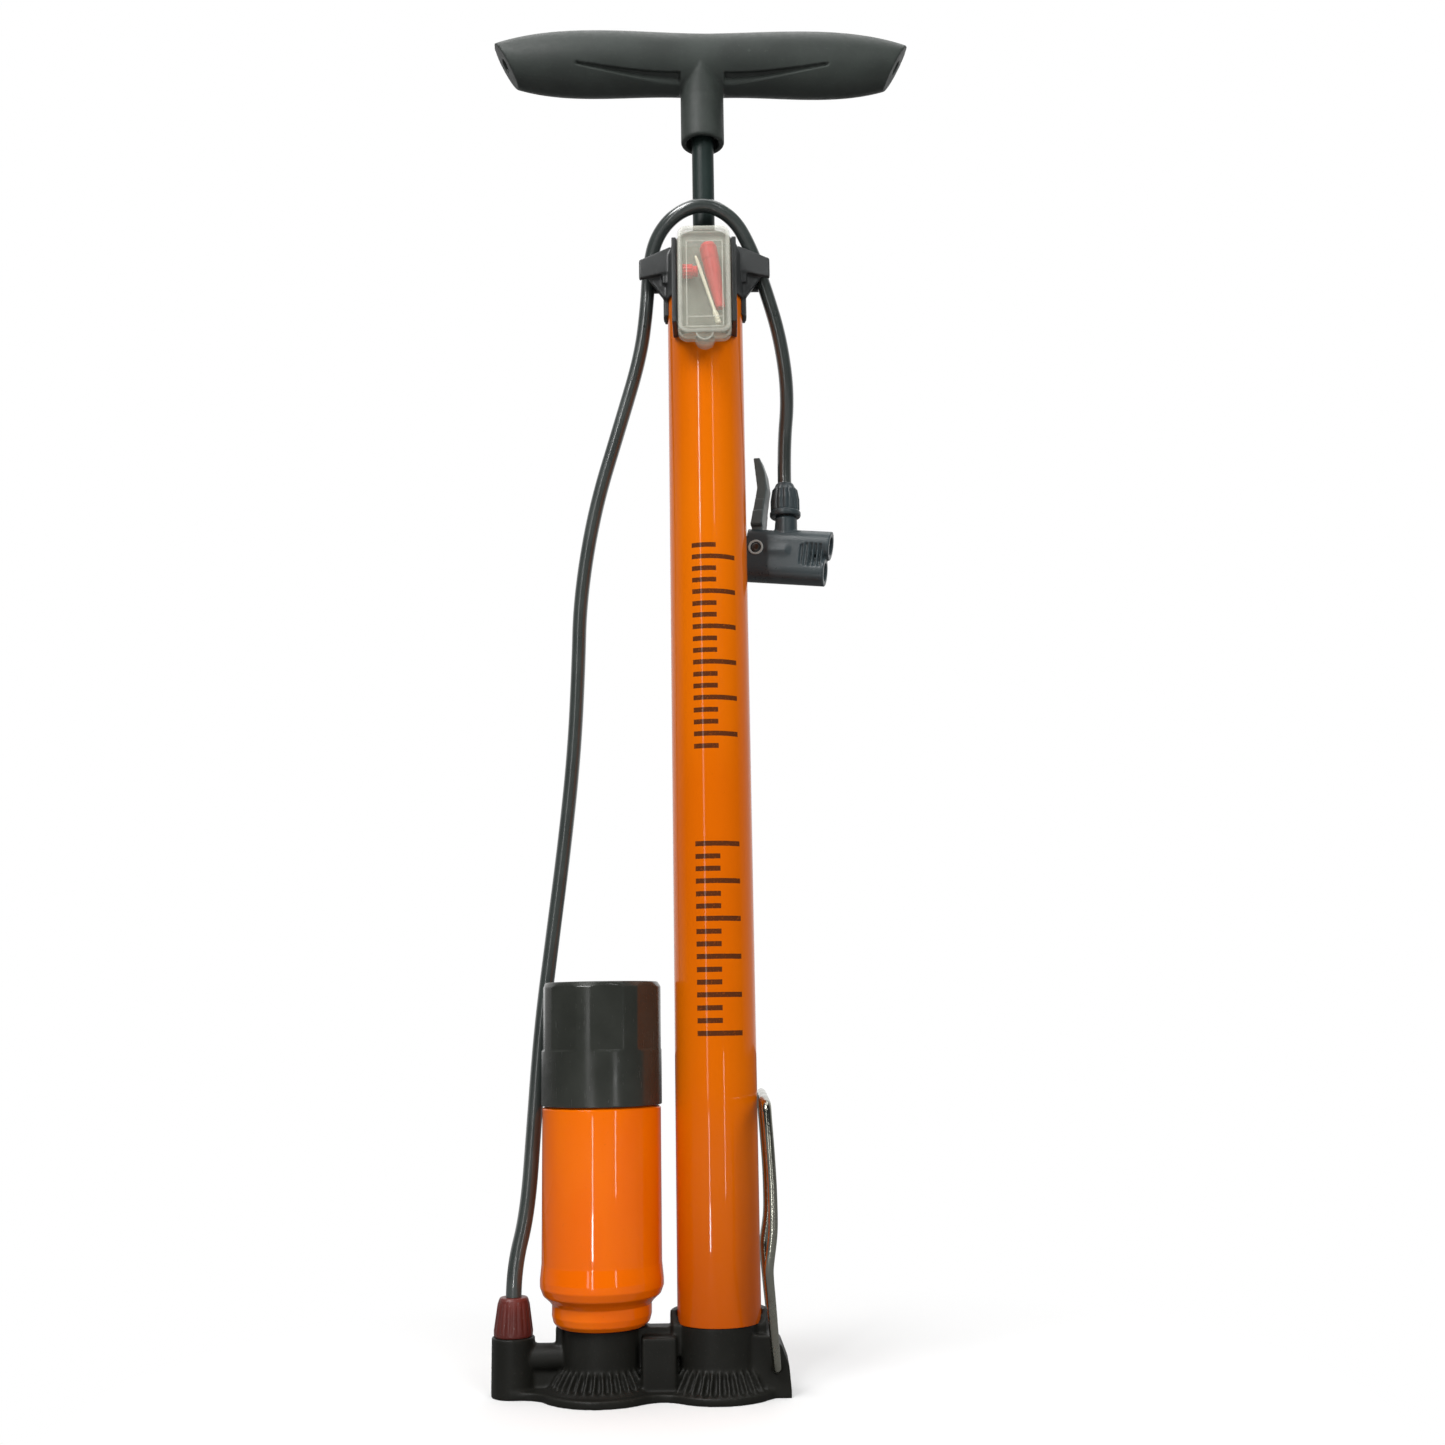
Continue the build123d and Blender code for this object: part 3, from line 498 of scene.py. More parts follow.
def remoulded(name, node, voxel, rounds, extra=(), sculpt=None):
    """A copy of a CAD node with moulded, rounded edges. extra is more closed geometry to fuse in,
    and sculpt moves an array of vertices in millimetres."""
    bm = bmesh.new()
    bm.from_mesh(NODES[node].data)
    bmesh.ops.remove_doubles(bm, verts=bm.verts, dist=1e-6)
    for verts, faces in extra:
        new = [bm.verts.new((x * MM, y * MM, z * MM)) for x, y, z in verts]
        for f in faces:
            bm.faces.new([new[i] for i in f])
    bmesh.ops.recalc_face_normals(bm, faces=bm.faces)
    mesh = bpy.data.meshes.new(name)
    bm.to_mesh(mesh)
    bm.free()
    rough = link(bpy.data.objects.new(name + "_rough", mesh))
    remesh = rough.modifiers.new("remesh", "REMESH")
    remesh.mode = "VOXEL"
    remesh.voxel_size = voxel * MM
    remesh.use_smooth_shade = True
    smooth = rough.modifiers.new("smooth", "SMOOTH")
    smooth.factor = 0.5
    smooth.iterations = rounds
    result = baked(rough, name)
    if sculpt:
        co = np.zeros(len(result.vertices) * 3)
        result.vertices.foreach_get("co", co)
        co = sculpt(co.reshape(-1, 3) / MM) * MM
        result.vertices.foreach_set("co", co.ravel())
        result.update()
    return result


def step01(value, low, high):
    """A smooth step: 0 at low, 1 at high, which may be the smaller of the two."""
    t = np.clip((value - low) / (high - low), 0, 1)
    return t * t * (3 - 2 * t)


# ---- hose: the CAD route's control points, post to valve head, in metres ----
HOSE_DIAMETER = 0.007
ROUTE = [
    (-0.0912, 0.0, 0.0416), (-0.0912, 0.0, 0.054), (-0.0858, 0.0045, 0.077), (-0.0842, 0.0135, 0.116),
    (-0.0824, 0.022, 0.158), (-0.0772, 0.0245, 0.202), (-0.0716, 0.024, 0.246), (-0.0669, 0.0215, 0.290),
    (-0.0647, 0.0185, 0.330), (-0.0636, 0.016, 0.366), (-0.0562, 0.0125, 0.410), (-0.0433, 0.009, 0.452),
    (-0.0326, 0.0055, 0.487), (-0.0292, 0.003, 0.512), (-0.0280, 0.0016, 0.532), (-0.0240, -0.0055, 0.546),
    (-0.0135, -0.012, 0.5555), (0.001, -0.0138, 0.5596), (0.0149, -0.0105, 0.553), (0.0234, -0.0035, 0.540),
    (0.0306, 0.0028, 0.5205), (0.0376, 0.0082, 0.497), (0.0412, 0.0155, 0.470), (0.0388, 0.027, 0.446),
    (0.0388, 0.027, 0.4268),
]
hose = nurbs("hose", ROUTE, HOSE_DIAMETER / 2, bevel_steps=7, path_steps=16)
hose.data.materials.append(MATERIALS["hose_pvc"])
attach(hose, "base")
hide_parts("hose_tube")

# ---- barrel, rod and tank ----
BARREL_R, BORE_R = 18.6, 17.4
BARREL_FOOT, BARREL_TOP = 30.0, 530.0
tube = soften([(BORE_R, BARREL_FOOT), (BARREL_R, BARREL_FOOT), (BARREL_R, BARREL_TOP),
               (BORE_R, BARREL_TOP)], 0.3)
built("barrel_painted", lathe(tube, 128), "base", "barrel_paint", "barrel_tube")

ROD_R = 5.5
rod = soften([(0.01, 48.0), (2.6, 48.0), (3.0, 48.6), (3.0, 67.0), (5.1, 67.0), (ROD_R, 67.4), (ROD_R, 623.6),
              (5.1, 624.0), (3.0, 624.0), (3.0, 637.6), (2.6, 638.0), (0.01, 638.0)], 0.2, closed=False)
built("rod_polished", lathe(rod, 64, closed=False), "plunger", "rod_black", "piston_rod")

TANK_X = -52.0
TANK_SHELL = [(3.5, 29.4), (19.6, 29.2), (21.4, 31.2), (22.1, 34.0), (22.1, 38.6), (23.4, 40.2),
              (26.2, 42.6), (27.5, 46.0), (27.5, 49.0), (26.8, 56.0), (26.8, 122.9), (25.0, 123.9),
              (25.0, 166.0), (23.8, 166.0), (23.8, 123.4), (25.6, 122.2), (25.6, 56.0), (26.3, 49.0),
              (26.3, 46.4), (25.4, 43.8), (22.4, 41.2), (20.9, 39.2), (20.9, 34.2), (20.2, 32.4),
              (19.0, 30.4), (6.0, 30.4), (3.5, 30.4)]
TANK_ROUND = [0.2, 1.6, 2.0, 2.0, 1.0, 1.6, 2.4, 2.6, 3.0, 8.0, 0.5, 0.5, 0.4, 0.4] + [0.8] * 13
WAVE_FOOT, WAVE_TALL, WAVE_DEEP = 36.0, 14.0, 0.12
WAVE_INSIDE = 21.5      # what lies within this radius stays round


def tank_wave(angle, r, z):
    """The pressed step near the foot is not quite true."""
    up = (z - WAVE_FOOT) / WAVE_TALL
    if 0 < up < 1 and r > WAVE_INSIDE:
        return r + WAVE_DEEP * math.sin(3 * angle + 0.6) * math.sin(math.pi * up)
    return r


shell = lathe(soften(TANK_SHELL, TANK_ROUND, steps=6), 160, shape=tank_wave)
neck = lathe(soften([(3.5, 20.0), (6.0, 20.0), (6.0, 30.0), (3.5, 30.0)], 0.3), 48)
built("tank_painted", moved(merged(shell, neck), shift(TANK_X)), "base", "tank_paint", "tank_shell")

CAP_R = 27.3
CAP_FOOT, CAP_TOP = 124.0, 178.8
CAP_MOUTH_R = 25.1
CAP_CEILING = 169.0
FLAT_AT = 26.35         # distance of the grip flats from the axis
FLAT_FOOT = 149.0
FLAT_FADE = 0.8         # the flats fade in over this height below their foot
FLAT_INSIDE = 24.0      # what lies within this radius stays round
FLAT_COUNT = 8
FLAT_TURN = -80.0       # direction of the first flat


def cap_flats(angle, r, z):
    """Eight shallow grip flats on the upper half of the tank's cap."""
    if r < FLAT_INSIDE or z < FLAT_FOOT - FLAT_FADE:
        return r
    pitch = 2 * math.pi / FLAT_COUNT
    off = (angle - math.radians(FLAT_TURN) + pitch / 2) % pitch - pitch / 2
    cut = FLAT_AT / math.cos(off) - r
    if cut >= 0:
        return r
    fade = min(1.0, max(0.0, (z - FLAT_FOOT + FLAT_FADE) / FLAT_FADE))
    return r + cut * fade


cap_rim = (CAP_MOUTH_R, CAP_FOOT + 0.1)
cap_outline = [cap_rim, (CAP_R, CAP_FOOT), (CAP_R, FLAT_FOOT - FLAT_FADE), (CAP_R, FLAT_FOOT), (CAP_R, 176.4),
               (25.6, CAP_TOP), (6.0, CAP_TOP), (5.0, CAP_TOP - 0.5), (0.01, CAP_TOP - 0.5)]
cap_round = [0, 0.5, 0, 0, 1.2, 0.8, 0.3, 0.3, 0]
outside = soften(cap_outline, cap_round, closed=False)
inside = [cap_rim, (25.0, CAP_CEILING), (0.01, CAP_CEILING)]
# the rim is in both, which keeps its edge sharp
tank_top = lathe(outside[::-1] + inside, 256, closed=False, shape=cap_flats)
built("tank_cap_fluted", moved(tank_top, shift(TANK_X)), "base", "tank_cap_plastic", "tank_cap")

# ---- base ----
base_mesh = remoulded("base_moulded", "base_moulding", voxel=0.62, rounds=6)
piece("base_moulded", base_mesh, "base", "base_plastic", "base_moulding")

# ---- top cap with its clips ----
cap_mesh = remoulded("cap_moulded", "top_cap", voxel=0.5, rounds=4)
piece("cap_moulded", cap_mesh, "base", "cap_plastic", "top_cap")

# ---- grip ----
GRIP_Z = 643.2
GRIP_TURN = 2.0
GRIP_HALF_Z, GRIP_HALF_Y = 16.3, 14.4
SLIT_START, SLIT_END = 11.5, 64.5           # from the hub towards each end of the grip
SLIT_DROP, SLIT_RISE = 11.6, 5.2            # below the grip's middle, and how far the slit curves up
SLIT_HALF, SLIT_NARROWS = 1.9, 1.15         # half its width at the hub, and how much of that goes
SLIT_DEEP, SLIT_SHALLOWS = 2.9, 1.4


def grip_slits(co):
    """Two curved relief slits low on the front of the grip, deeper towards the hub."""
    c, s = math.cos(math.radians(GRIP_TURN)), math.sin(math.radians(GRIP_TURN))
    unturn = np.array([[c, s, 0], [-s, c, 0], [0, 0, 1]])
    x, y, z = unturn @ co.T
    out = np.abs(x)
    t = np.clip((out - SLIT_START) / (SLIT_END - SLIT_START), 0, 1)
    middle = GRIP_Z - SLIT_DROP + SLIT_RISE * t ** 1.8
    up = (z - middle) / (SLIT_HALF - SLIT_NARROWS * t)
    along = step01(out, SLIT_START - 0.5, SLIT_START + 0.3) * (1 - step01(out, SLIT_END - 1.5, SLIT_END))
    across = np.where(up > 0, 1 - step01(up, 0.55, 1.0), 1 - step01(-up, 0.2, 1.35))
    front = step01(-y, 2.0, 4.0)
    depth = (SLIT_DEEP - SLIT_SHALLOWS * t) * along * across * front
    normal = np.stack([np.zeros_like(x), y / GRIP_HALF_Y ** 2, (z - GRIP_Z) / GRIP_HALF_Z ** 2], 1)
    normal /= np.linalg.norm(normal, axis=1, keepdims=True) + 1e-9
    return co - (normal * depth[:, None]) @ unturn


HUB_RIDGE = ((612.0, 10.9, 10.9), (622.0, 11.0, 11.2), (628.0, 10.2, 12.0), (633.0, 8.0, 13.0),
             (637.0, 5.0, 13.7), (639.5, 2.6, 13.9))     # height, half width, reach to the front
RIDGE_BACK = 6.5        # the wedge's back, inside the grip
RIDGE_STEPS = 20


def hub_ridge(side):
    """The wedge that runs from the hub up the front (-1) or back (1) of the grip."""
    rings = []
    for z, half_x, half_y in HUB_RIDGE:
        first = math.asin(RIDGE_BACK / half_y)
        turns = [first + (math.pi - 2 * first) * k / RIDGE_STEPS for k in range(RIDGE_STEPS + 1)]
        rings.append([(half_x * math.cos(a), side * half_y * math.sin(a), z) for a in turns])
    return loops(rings)


grip_mesh = remoulded("grip_moulded", "handle_grip", voxel=0.6, rounds=4, extra=[hub_ridge(-1), hub_ridge(1)],
                      sculpt=grip_slits)
piece("grip_moulded", grip_mesh, "plunger", "handle_plastic", "handle_grip")

# ---- hose nut at the post ----
POST_X = -91.2
RIB_INSIDE = 4.9        # what lies within this radius stays smooth


def ribs(count, height, low, high):
    """Round-topped ribs up a turned piece, between two heights."""
    def shape(angle, r, z):
        if z < low or z > high or r < RIB_INSIDE:
            return r
        fade = min(1.0, (z - low) / 0.8, (high - z) / 1.2)
        wave = 0.5 + 0.5 * math.cos(count * angle)
        return r + height * fade * wave ** 0.6
    return shape


def split(outline, longest=1.0):
    """More rows on a turned outline, so that ribs can fade in along it."""
    out = []
    for p, q in zip(outline, outline[1:]):
        n = max(1, int(math.dist(p, q) / longest))
        out += [(p[0] + (q[0] - p[0]) * k / n, p[1] + (q[1] - p[1]) * k / n) for k in range(n)]
    return out + [outline[-1]]


nut = soften([(7.2, 28.2), (7.2, 25.1), (8.4, 25.05), (8.6, 26.0), (6.6, 40.4), (6.0, 41.5), (2.3, 41.5),
              (2.3, 39.0), (3.6, 39.0), (3.6, 28.2)], 0.5, closed=False)
nut_turned = lathe(split(nut), 216, shape=ribs(count=18, height=0.32, low=26.2, high=40.0))
built("hose_nut_ribbed", moved(nut_turned, shift(POST_X)), "base", "hose_nut_red", "hose_nut")

# ---- valve head ----
HEAD = shift(38.8, 27.0, 388.4) @ turn("Z", -12.0)      # the upright neck, nut and lever
NOZZLES = HEAD @ turn("Y", 7.6)                         # the drooping body
PIN_AT = (-14.6, 2.4)
BOSS_R, BOSS_Y = 4.6, 7.2                               # the pin's boss is cut flat at this half width
RECESS_X = (7.4, 19.8)
RIB_PITCH, RIB_DEEP = 2.3, 0.9
RIM_Y = (6.9, 7.68)                                     # the pale rings around the pin's ends
LEDGE_Z, LEDGE_OUT = (29.6, 23.6), 0.6                  # the lever's two ledges
NUT_LOW, NUT_HIGH = 20.7, 38.4


def in_place(co, place, change):
    """Applies change to an array of points in a piece's own frame."""
    back, there = np.array(place.inverted()), np.array(place)
    local = change(co @ back[:3, :3].T + back[:3, 3])
    return local @ there[:3, :3].T + there[:3, 3]


def head_details(local):
    """Ribbed recess between the nozzles, and a soft ridge from it to the pin."""
    x, y, z = local.T
    off = np.abs(y)
    area = step01(np.hypot(np.minimum(x - 11.5, 0), z - 0.3), 6.2, 5.2)
    area = area * step01(x, RECESS_X[0], RECESS_X[0] + 0.8) * (1 - step01(x, RECESS_X[1] - 0.8, RECESS_X[1]))
    rib = 0.5 + 0.5 * np.cos(2 * math.pi * (x - RECESS_X[0]) / RIB_PITCH)
    depth = RIB_DEEP * area * (1 - step01(rib, 0.45, 0.8))
    depth = depth * (1 - step01(off, 7.6, 8.0)) * step01(off, 4.6, 5.6)
    ridge = 0.8 * step01(x, -11.0, -8.0) * (1 - step01(x, 0.0, 4.0)) * np.exp(-((z - 1.6) / 2.2) ** 2)
    local[:, 1] += np.sign(y) * (ridge * step01(off, 5.0, 6.5) - depth)
    boss = np.hypot(x - PIN_AT[0], z - PIN_AT[1]) < BOSS_R
    local[boss, 1] = np.clip(local[boss, 1], -BOSS_Y, BOSS_Y)
    return local


def lever_steps(local):
    """Two small ledges low on the lever's sides."""
    x, y, z = local.T
    out = sum(LEDGE_OUT * (1 - step01(z, low, low + 0.5)) for low in LEDGE_Z)
    local[:, 1] += np.sign(y) * out * step01(np.abs(y), 3.0, 4.6) * step01(z, 16.4, 17.2)
    return local


def rounded_bar(x0, x1, y0, y1, z0, z1, corner=0.3):
    """A block with rounded edges along Y and eased ends."""
    cx, cz = (x0 + x1) / 2, (z0 + z1) / 2
    rings = []
    for y, inset in ((y0, corner), (y0 + corner * 0.3, corner * 0.3), (y0 + corner, 0.0), (y1 - corner, 0.0),
                     (y1 - corner * 0.3, corner * 0.3), (y1, corner)):
        outline = rounded_rect((x1 - x0) / 2 - inset, (z1 - z0) / 2 - inset,
                               max(corner - inset * 0.6, 0.05), 3)
        rings.append([(cx + u, y, cz + v) for u, v in outline])
    return loops(rings)


head_ribs = [moved(rounded_bar(x - 0.55, x + 0.55, -6.5, 6.5, -5.6, 6.0), NOZZLES)
             for x in (14.3, 16.6, 18.6)]
head_mesh = remoulded("head_moulded", "head_body", voxel=0.38, rounds=4, extra=head_ribs,
                      sculpt=lambda co: in_place(co, NOZZLES, head_details))
head = piece("head_moulded", head_mesh, "base", "head_plastic", "head_body")

bead = soften([(5.1, NUT_LOW + 0.7), (5.1, NUT_LOW), (7.4, NUT_LOW), (7.8, NUT_LOW + 0.8),
               (7.8, NUT_LOW + 2.4), (6.8, NUT_LOW + 3.2), (6.8, NUT_LOW + 9.0), (5.9, NUT_LOW + 14.0),
               (4.5, NUT_HIGH - 0.5), (4.0, NUT_HIGH), (2.1, NUT_HIGH), (2.1, NUT_LOW + 8.0),
               (3.7, NUT_LOW + 8.0), (3.7, NUT_LOW + 0.7)], 0.7, closed=False)
head_nut_turned = lathe(split(bead), 168,
                        shape=ribs(count=14, height=0.6, low=NUT_LOW + 2.8, high=NUT_LOW + 15.2))
head_nut = built("head_nut_ribbed", moved(head_nut_turned, HEAD), "base", "head_plastic", "head_nut")

lever_mesh = remoulded("lever_moulded", "head_lever", voxel=0.34, rounds=4,
                       sculpt=lambda co: in_place(co, HEAD, lever_steps))
lever = piece("lever_moulded", lever_mesh, "lever", "lever_plastic", "head_lever")

PIN_END = 8.1
pin_half = [(0.01, PIN_END - 0.5), (0.9, PIN_END - 0.4), (1.5, PIN_END), (1.98, PIN_END - 0.4)]
pin = lathe(soften([(r, -z) for r, z in pin_half] + pin_half[::-1], 0.2, closed=False), 40, closed=False)
pin_place = NOZZLES @ shift(PIN_AT[0], 0, PIN_AT[1]) @ turn("X", 90)
pin_piece = built("lever_pin_domed", moved(pin, pin_place), "base", "zinc_steel", "lever_pin",
                  material="pin_dull")
rim = lathe(soften([(2.7, RIM_Y[0]), (3.8, RIM_Y[0]), (3.8, RIM_Y[1]), (2.7, RIM_Y[1])], 0.35), 56)
pin_rings = built("lever_pin_rims", moved(merged(rim, moved(rim, turn("X", 180))), pin_place), "base",
                  "head_plastic", material="rim_grey")

# ---- pedal ----
PEDAL_R = 2.0
PEDAL_NEAR = [(24.6, -5.0, 12.4), (24.6, -8.0, 12.4), (24.6, -14.6, 12.4), (24.5, -16.6, 14.4),
              (23.7, -21.0, 24.4), (22.6, -27.4, 41.0), (21.5, -32.4, 54.4), (21.8, -33.2, 58.6),
              (23.4, -33.8, 69.0), (23.8, -34.0, 75.0), (23.8, -34.0, 84.0), (23.6, -34.0, 94.0),
              (22.9, -33.6, 108.0), (22.2, -33.2, 118.6), (22.0, -32.2, 124.4), (21.9, -26.0, 125.0),
              (21.6, -12.0, 125.6)]
PEDAL_FAR = [(21.2, 12.0, 126.6), (21.0, 26.0, 127.0), (20.9, 32.2, 126.6), (21.1, 33.2, 121.0),
             (22.0, 33.6, 108.0), (22.9, 34.0, 94.0), (23.1, 34.0, 84.0), (23.1, 34.0, 75.0),
             (22.7, 33.8, 69.6), (21.0, 33.2, 60.4), (20.7, 32.4, 56.2), (21.8, 27.4, 43.0),
             (23.4, 21.0, 25.6), (24.5, 16.6, 14.4), (24.6, 14.6, 12.4), (24.6, 8.0, 12.4),
             (24.6, 5.0, 12.4)]
pedal_path = [tuple(v * MM for v in at) for at in PEDAL_NEAR + PEDAL_FAR]
wire = nurbs("pedal_wire", pedal_path, PEDAL_R * MM, bevel_steps=8, path_steps=10)
piece("pedal_wire", baked(wire, "pedal_wire"), "pedal", "zinc_steel", "pedal_bail", material="wire_chrome")

# ---- accessory case and what it holds ----
CASE_HALF = (12.8, 27.6)
CASE_FOOT = 480.8
CASE_MID = CASE_FOOT + CASE_HALF[1]
CASE_BACK, CASE_SPLIT, CASE_FRONT = -24.6, -29.6, -35.8
CASE_CORNER = 4.4
CORNER_STEPS = 7
SLIDE_Z = (491.3, 530.4)                    # the tongue on its back that runs in the top cap's channel
SLIDE_RAIL_Z = (491.3, 530.5)
TAB_TRAY, TAB_LID, TAB_LINE = (4.8, 0.8), (4.4, 1.0), (3.7, 1.0)    # radius, centre above the case's foot


def case_shell(sections):
    """Skins rounded rectangles given as (inset, y)."""
    rings = []
    for inset, y in sections:
        outline = rounded_rect(CASE_HALF[0] - inset, CASE_HALF[1] - inset, CASE_CORNER - inset * 0.75,
                               CORNER_STEPS)
        rings.append([(u, y, CASE_MID + v) for u, v in outline])
    return loops(rings)


def case_frame(inset, width, y0, y1):
    """A raised line that follows the case's outline."""
    rings = []
    for extra, y in ((0, y0), (0, y1), (width, y1), (width, y0), (0, y0)):
        outline = rounded_rect(CASE_HALF[0] - inset - extra, CASE_HALF[1] - inset - extra,
                               max(CASE_CORNER - inset - extra, 0.8), CORNER_STEPS)
        rings.append([(u, y, CASE_MID + v) for u, v in outline])
    verts, faces = loops(rings)
    return verts, faces[2:]


tray = case_shell([(0.9, CASE_BACK), (0.3, CASE_BACK - 0.15), (0.0, CASE_BACK - 0.7), (0.0, CASE_SPLIT + 0.1),
                   (0.1, CASE_SPLIT), (0.9, CASE_SPLIT), (1.0, CASE_SPLIT + 0.1), (1.0, CASE_BACK - 1.6),
                   (1.3, CASE_BACK - 1.1), (1.9, CASE_BACK - 1.0)])
tray_wall = rounded_bar(-11.6, 11.6, CASE_BACK - 3.2, CASE_BACK - 0.9, 487.0, 488.0, 0.2)
tray_slide = merged(rounded_bar(-12.0, 12.0, -25.0, -22.8, *SLIDE_Z, 0.3),
                    rounded_bar(-14.0, -11.4, -24.9, -23.2, *SLIDE_RAIL_Z, 0.3),
                    rounded_bar(11.4, 14.0, -24.9, -23.2, *SLIDE_RAIL_Z, 0.3))


def tab_arc(radius, rise):
    """The lower half of the round latch tab at the bottom of the case."""
    middle = CASE_FOOT + rise
    turns = [math.radians(a) for a in range(180, 361, 12)]
    return [(radius * math.cos(a), middle + radius * math.sin(a)) for a in turns]


def at_depths(outline, depths):
    """Skins one (x, z) outline between two depths."""
    return loops([[(u, y, v) for u, v in outline] for y in depths])


tray_tab = at_depths(tab_arc(*TAB_TRAY), (CASE_BACK - 0.4, CASE_SPLIT + 0.2))
built("case_tray_moulded", merged(tray, tray_wall, tray_slide, tray_tab), "accessory_case", "case_clear",
      "case_tray")

lid_shell = case_shell([(1.9, CASE_FRONT + 1.0), (1.3, CASE_FRONT + 1.1), (1.0, CASE_FRONT + 1.7),
                        (1.0, CASE_SPLIT - 0.4), (0.9, CASE_SPLIT - 0.3), (0.1, CASE_SPLIT - 0.3),
                        (0.0, CASE_SPLIT - 0.4), (0.0, CASE_FRONT + 1.4), (0.3, CASE_FRONT + 0.5),
                        (0.9, CASE_FRONT + 0.05), (1.5, CASE_FRONT)])
lid_tab = at_depths(tab_arc(*TAB_LID), (CASE_SPLIT - 0.4, CASE_FRONT + 0.6))
built("case_lid_moulded", merged(lid_shell, lid_tab), "lid", "case_clear", "case_lid", material="lid_clear")

# raised edges in a paler finish, a painted highlight where they catch the light: the rim, the inner panel,
# the line between the compartments and the tab's arc
EDGE_Y = (CASE_FRONT - 0.3, CASE_FRONT + 0.25)
PANEL_LINES = ((-8.6, -8.0, 483.8, 527.6), (8.6, 9.2, 483.8, 527.6), (-8.6, 9.2, 527.4, 527.9),
               (-8.0, 8.6, 488.6, 489.2), (-8.0, 8.6, 483.6, 484.2))    # x from and to, z from and to
edges = [case_frame(0.5, 1.9, EDGE_Y[1] + 0.3, EDGE_Y[0] + 0.3)]
edges += [rounded_bar(x0, x1, *EDGE_Y, z0, z1, 0.12) for x0, x1, z0, z1 in PANEL_LINES]
edges.append(at_depths(tab_arc(*TAB_LID) + tab_arc(*TAB_LINE)[::-1], (CASE_FRONT + 0.7, CASE_FRONT + 0.2)))
built("case_edges", merged(*edges), "lid", "case_clear", material="case_edge_highlight")

NEEDLE_PLACE = shift(1.4, -33.3, 503.8) @ turn("Y", 162.8)
stem = soften([(0.01, -18.2), (0.5, -18.2), (0.65, -17.4), (0.8, -15.0), (0.8, 11.0), (1.2, 12.2)], 0.4,
              closed=False)
thread = [(1.2 + 0.2 * (k % 2), 12.6 + 0.45 * k) for k in range(12)]
needle = lathe(stem + thread + [(1.3, 18.2), (0.01, 18.2)], 32, closed=False)
built("needle_turned", moved(needle, NEEDLE_PLACE), "accessory_case", "zinc_steel", "ball_needle",
      material="needle_pale")

CONE_PLACE = shift(4.7, -30.1, 512.2) @ turn("Y", -10.0)
cone = soften([(0.9, -16.4), (1.0, -16.8), (2.1, -16.8), (2.3, -16.2), (4.0, 3.0), (4.0, 8.0), (4.2, 8.7),
               (4.2, 14.8), (3.2, 16.8), (1.0, 16.8), (0.9, 16.2)], 0.4)
built("cone_nozzle_turned", moved(lathe(split(cone), 72), CONE_PLACE), "accessory_case", "accessory_red",
      "cone_nozzle")

ADAPTER_PLACE = shift(-6.6, -30.1, 514.8) @ turn("Y", 90)


def adapter_grip(angle, r, z):
    """Twelve fine ribs around the adapter's wide end."""
    return r + (0.18 * math.cos(12 * angle) if 3.0 < r and z < 1.1 else 0.0)


adapter = soften([(1.2, -3.7), (3.2, -3.7), (3.2, 1.0), (2.6, 1.2), (2.6, 3.7), (1.2, 3.7)], 0.25)
built("valve_adapter_turned", moved(lathe(split(adapter, 0.5), 72, shape=adapter_grip), ADAPTER_PLACE),
      "accessory_case", "accessory_red", "valve_adapter")

# ---- CAD nodes that keep their own shape get their slot's finish ----
SLOT_OF = {s["node"]: s["material_slot"] for s in frame["record"]["subparts"]}
for name, node in NODES.items():
    if not node.hide_render:
        node.data.materials.clear()
        node.data.materials.append(MATERIALS[SLOT_OF[name]])

# ---- floor, world and lamps ----
FLOOR_HALF = 6.0            # metres
FLOOR_TONES = ((0.80, 0.80, 0.80, 1), (0.84, 0.84, 0.835, 1))
FLOOR_BOUNCE = (0.2, 0.2, 0.2, 1)           # what the pump's lower end sees of the floor
GLOW_NEAR, GLOW_FAR = (0.09, 0.3), (0.28, 1.0)      # distance from the pump in metres, share of plain white
WORLD_DIM = (-0.15, 0.05)   # towards the camera's side: direction's Y, strength
WORLD_FULL = (0.9, 1.0)     # behind the pump
WHITE = (1, 1, 1, 1)

floor_mesh = bpy.data.meshes.new("floor")
floor_corners = [(-FLOOR_HALF, -FLOOR_HALF, 0), (FLOOR_HALF, -FLOOR_HALF, 0), (FLOOR_HALF, FLOOR_HALF, 0),
                 (-FLOOR_HALF, FLOOR_HALF, 0)]
floor_mesh.from_pydata(floor_corners, [], [(0, 1, 2, 3)])
floor = link(bpy.data.objects.new("floor", floor_mesh))
pale = Surface("floor_pale", 0.7, specular=0.1)
pale.colour(pale.mix(pale.ramp(pale.noise(180.0, 3.0), 0.35, 0.65), *FLOOR_TONES))
pale.bump((pale.noise(4.0, 2.0), 0.02))
east, north, _ = pale.axes()
away = pale.math("SQRT", pale.math("ADD", pale.math("POWER", east, 2.0), pale.math("POWER", north, 2.0)))
glow = pale.node("ShaderNodeEmission")
glow.inputs["Strength"].default_value = 1.0
dim = pale.node("ShaderNodeBsdfDiffuse")
dim.inputs["Color"].default_value = FLOOR_BOUNCE


def shader_mix(surface, factor, first, second):
    made = surface.node("ShaderNodeMixShader")
    for socket, value in zip(made.inputs, (factor, first, second)):
        surface.feed(socket, value)
    return made.outputs["Shader"]


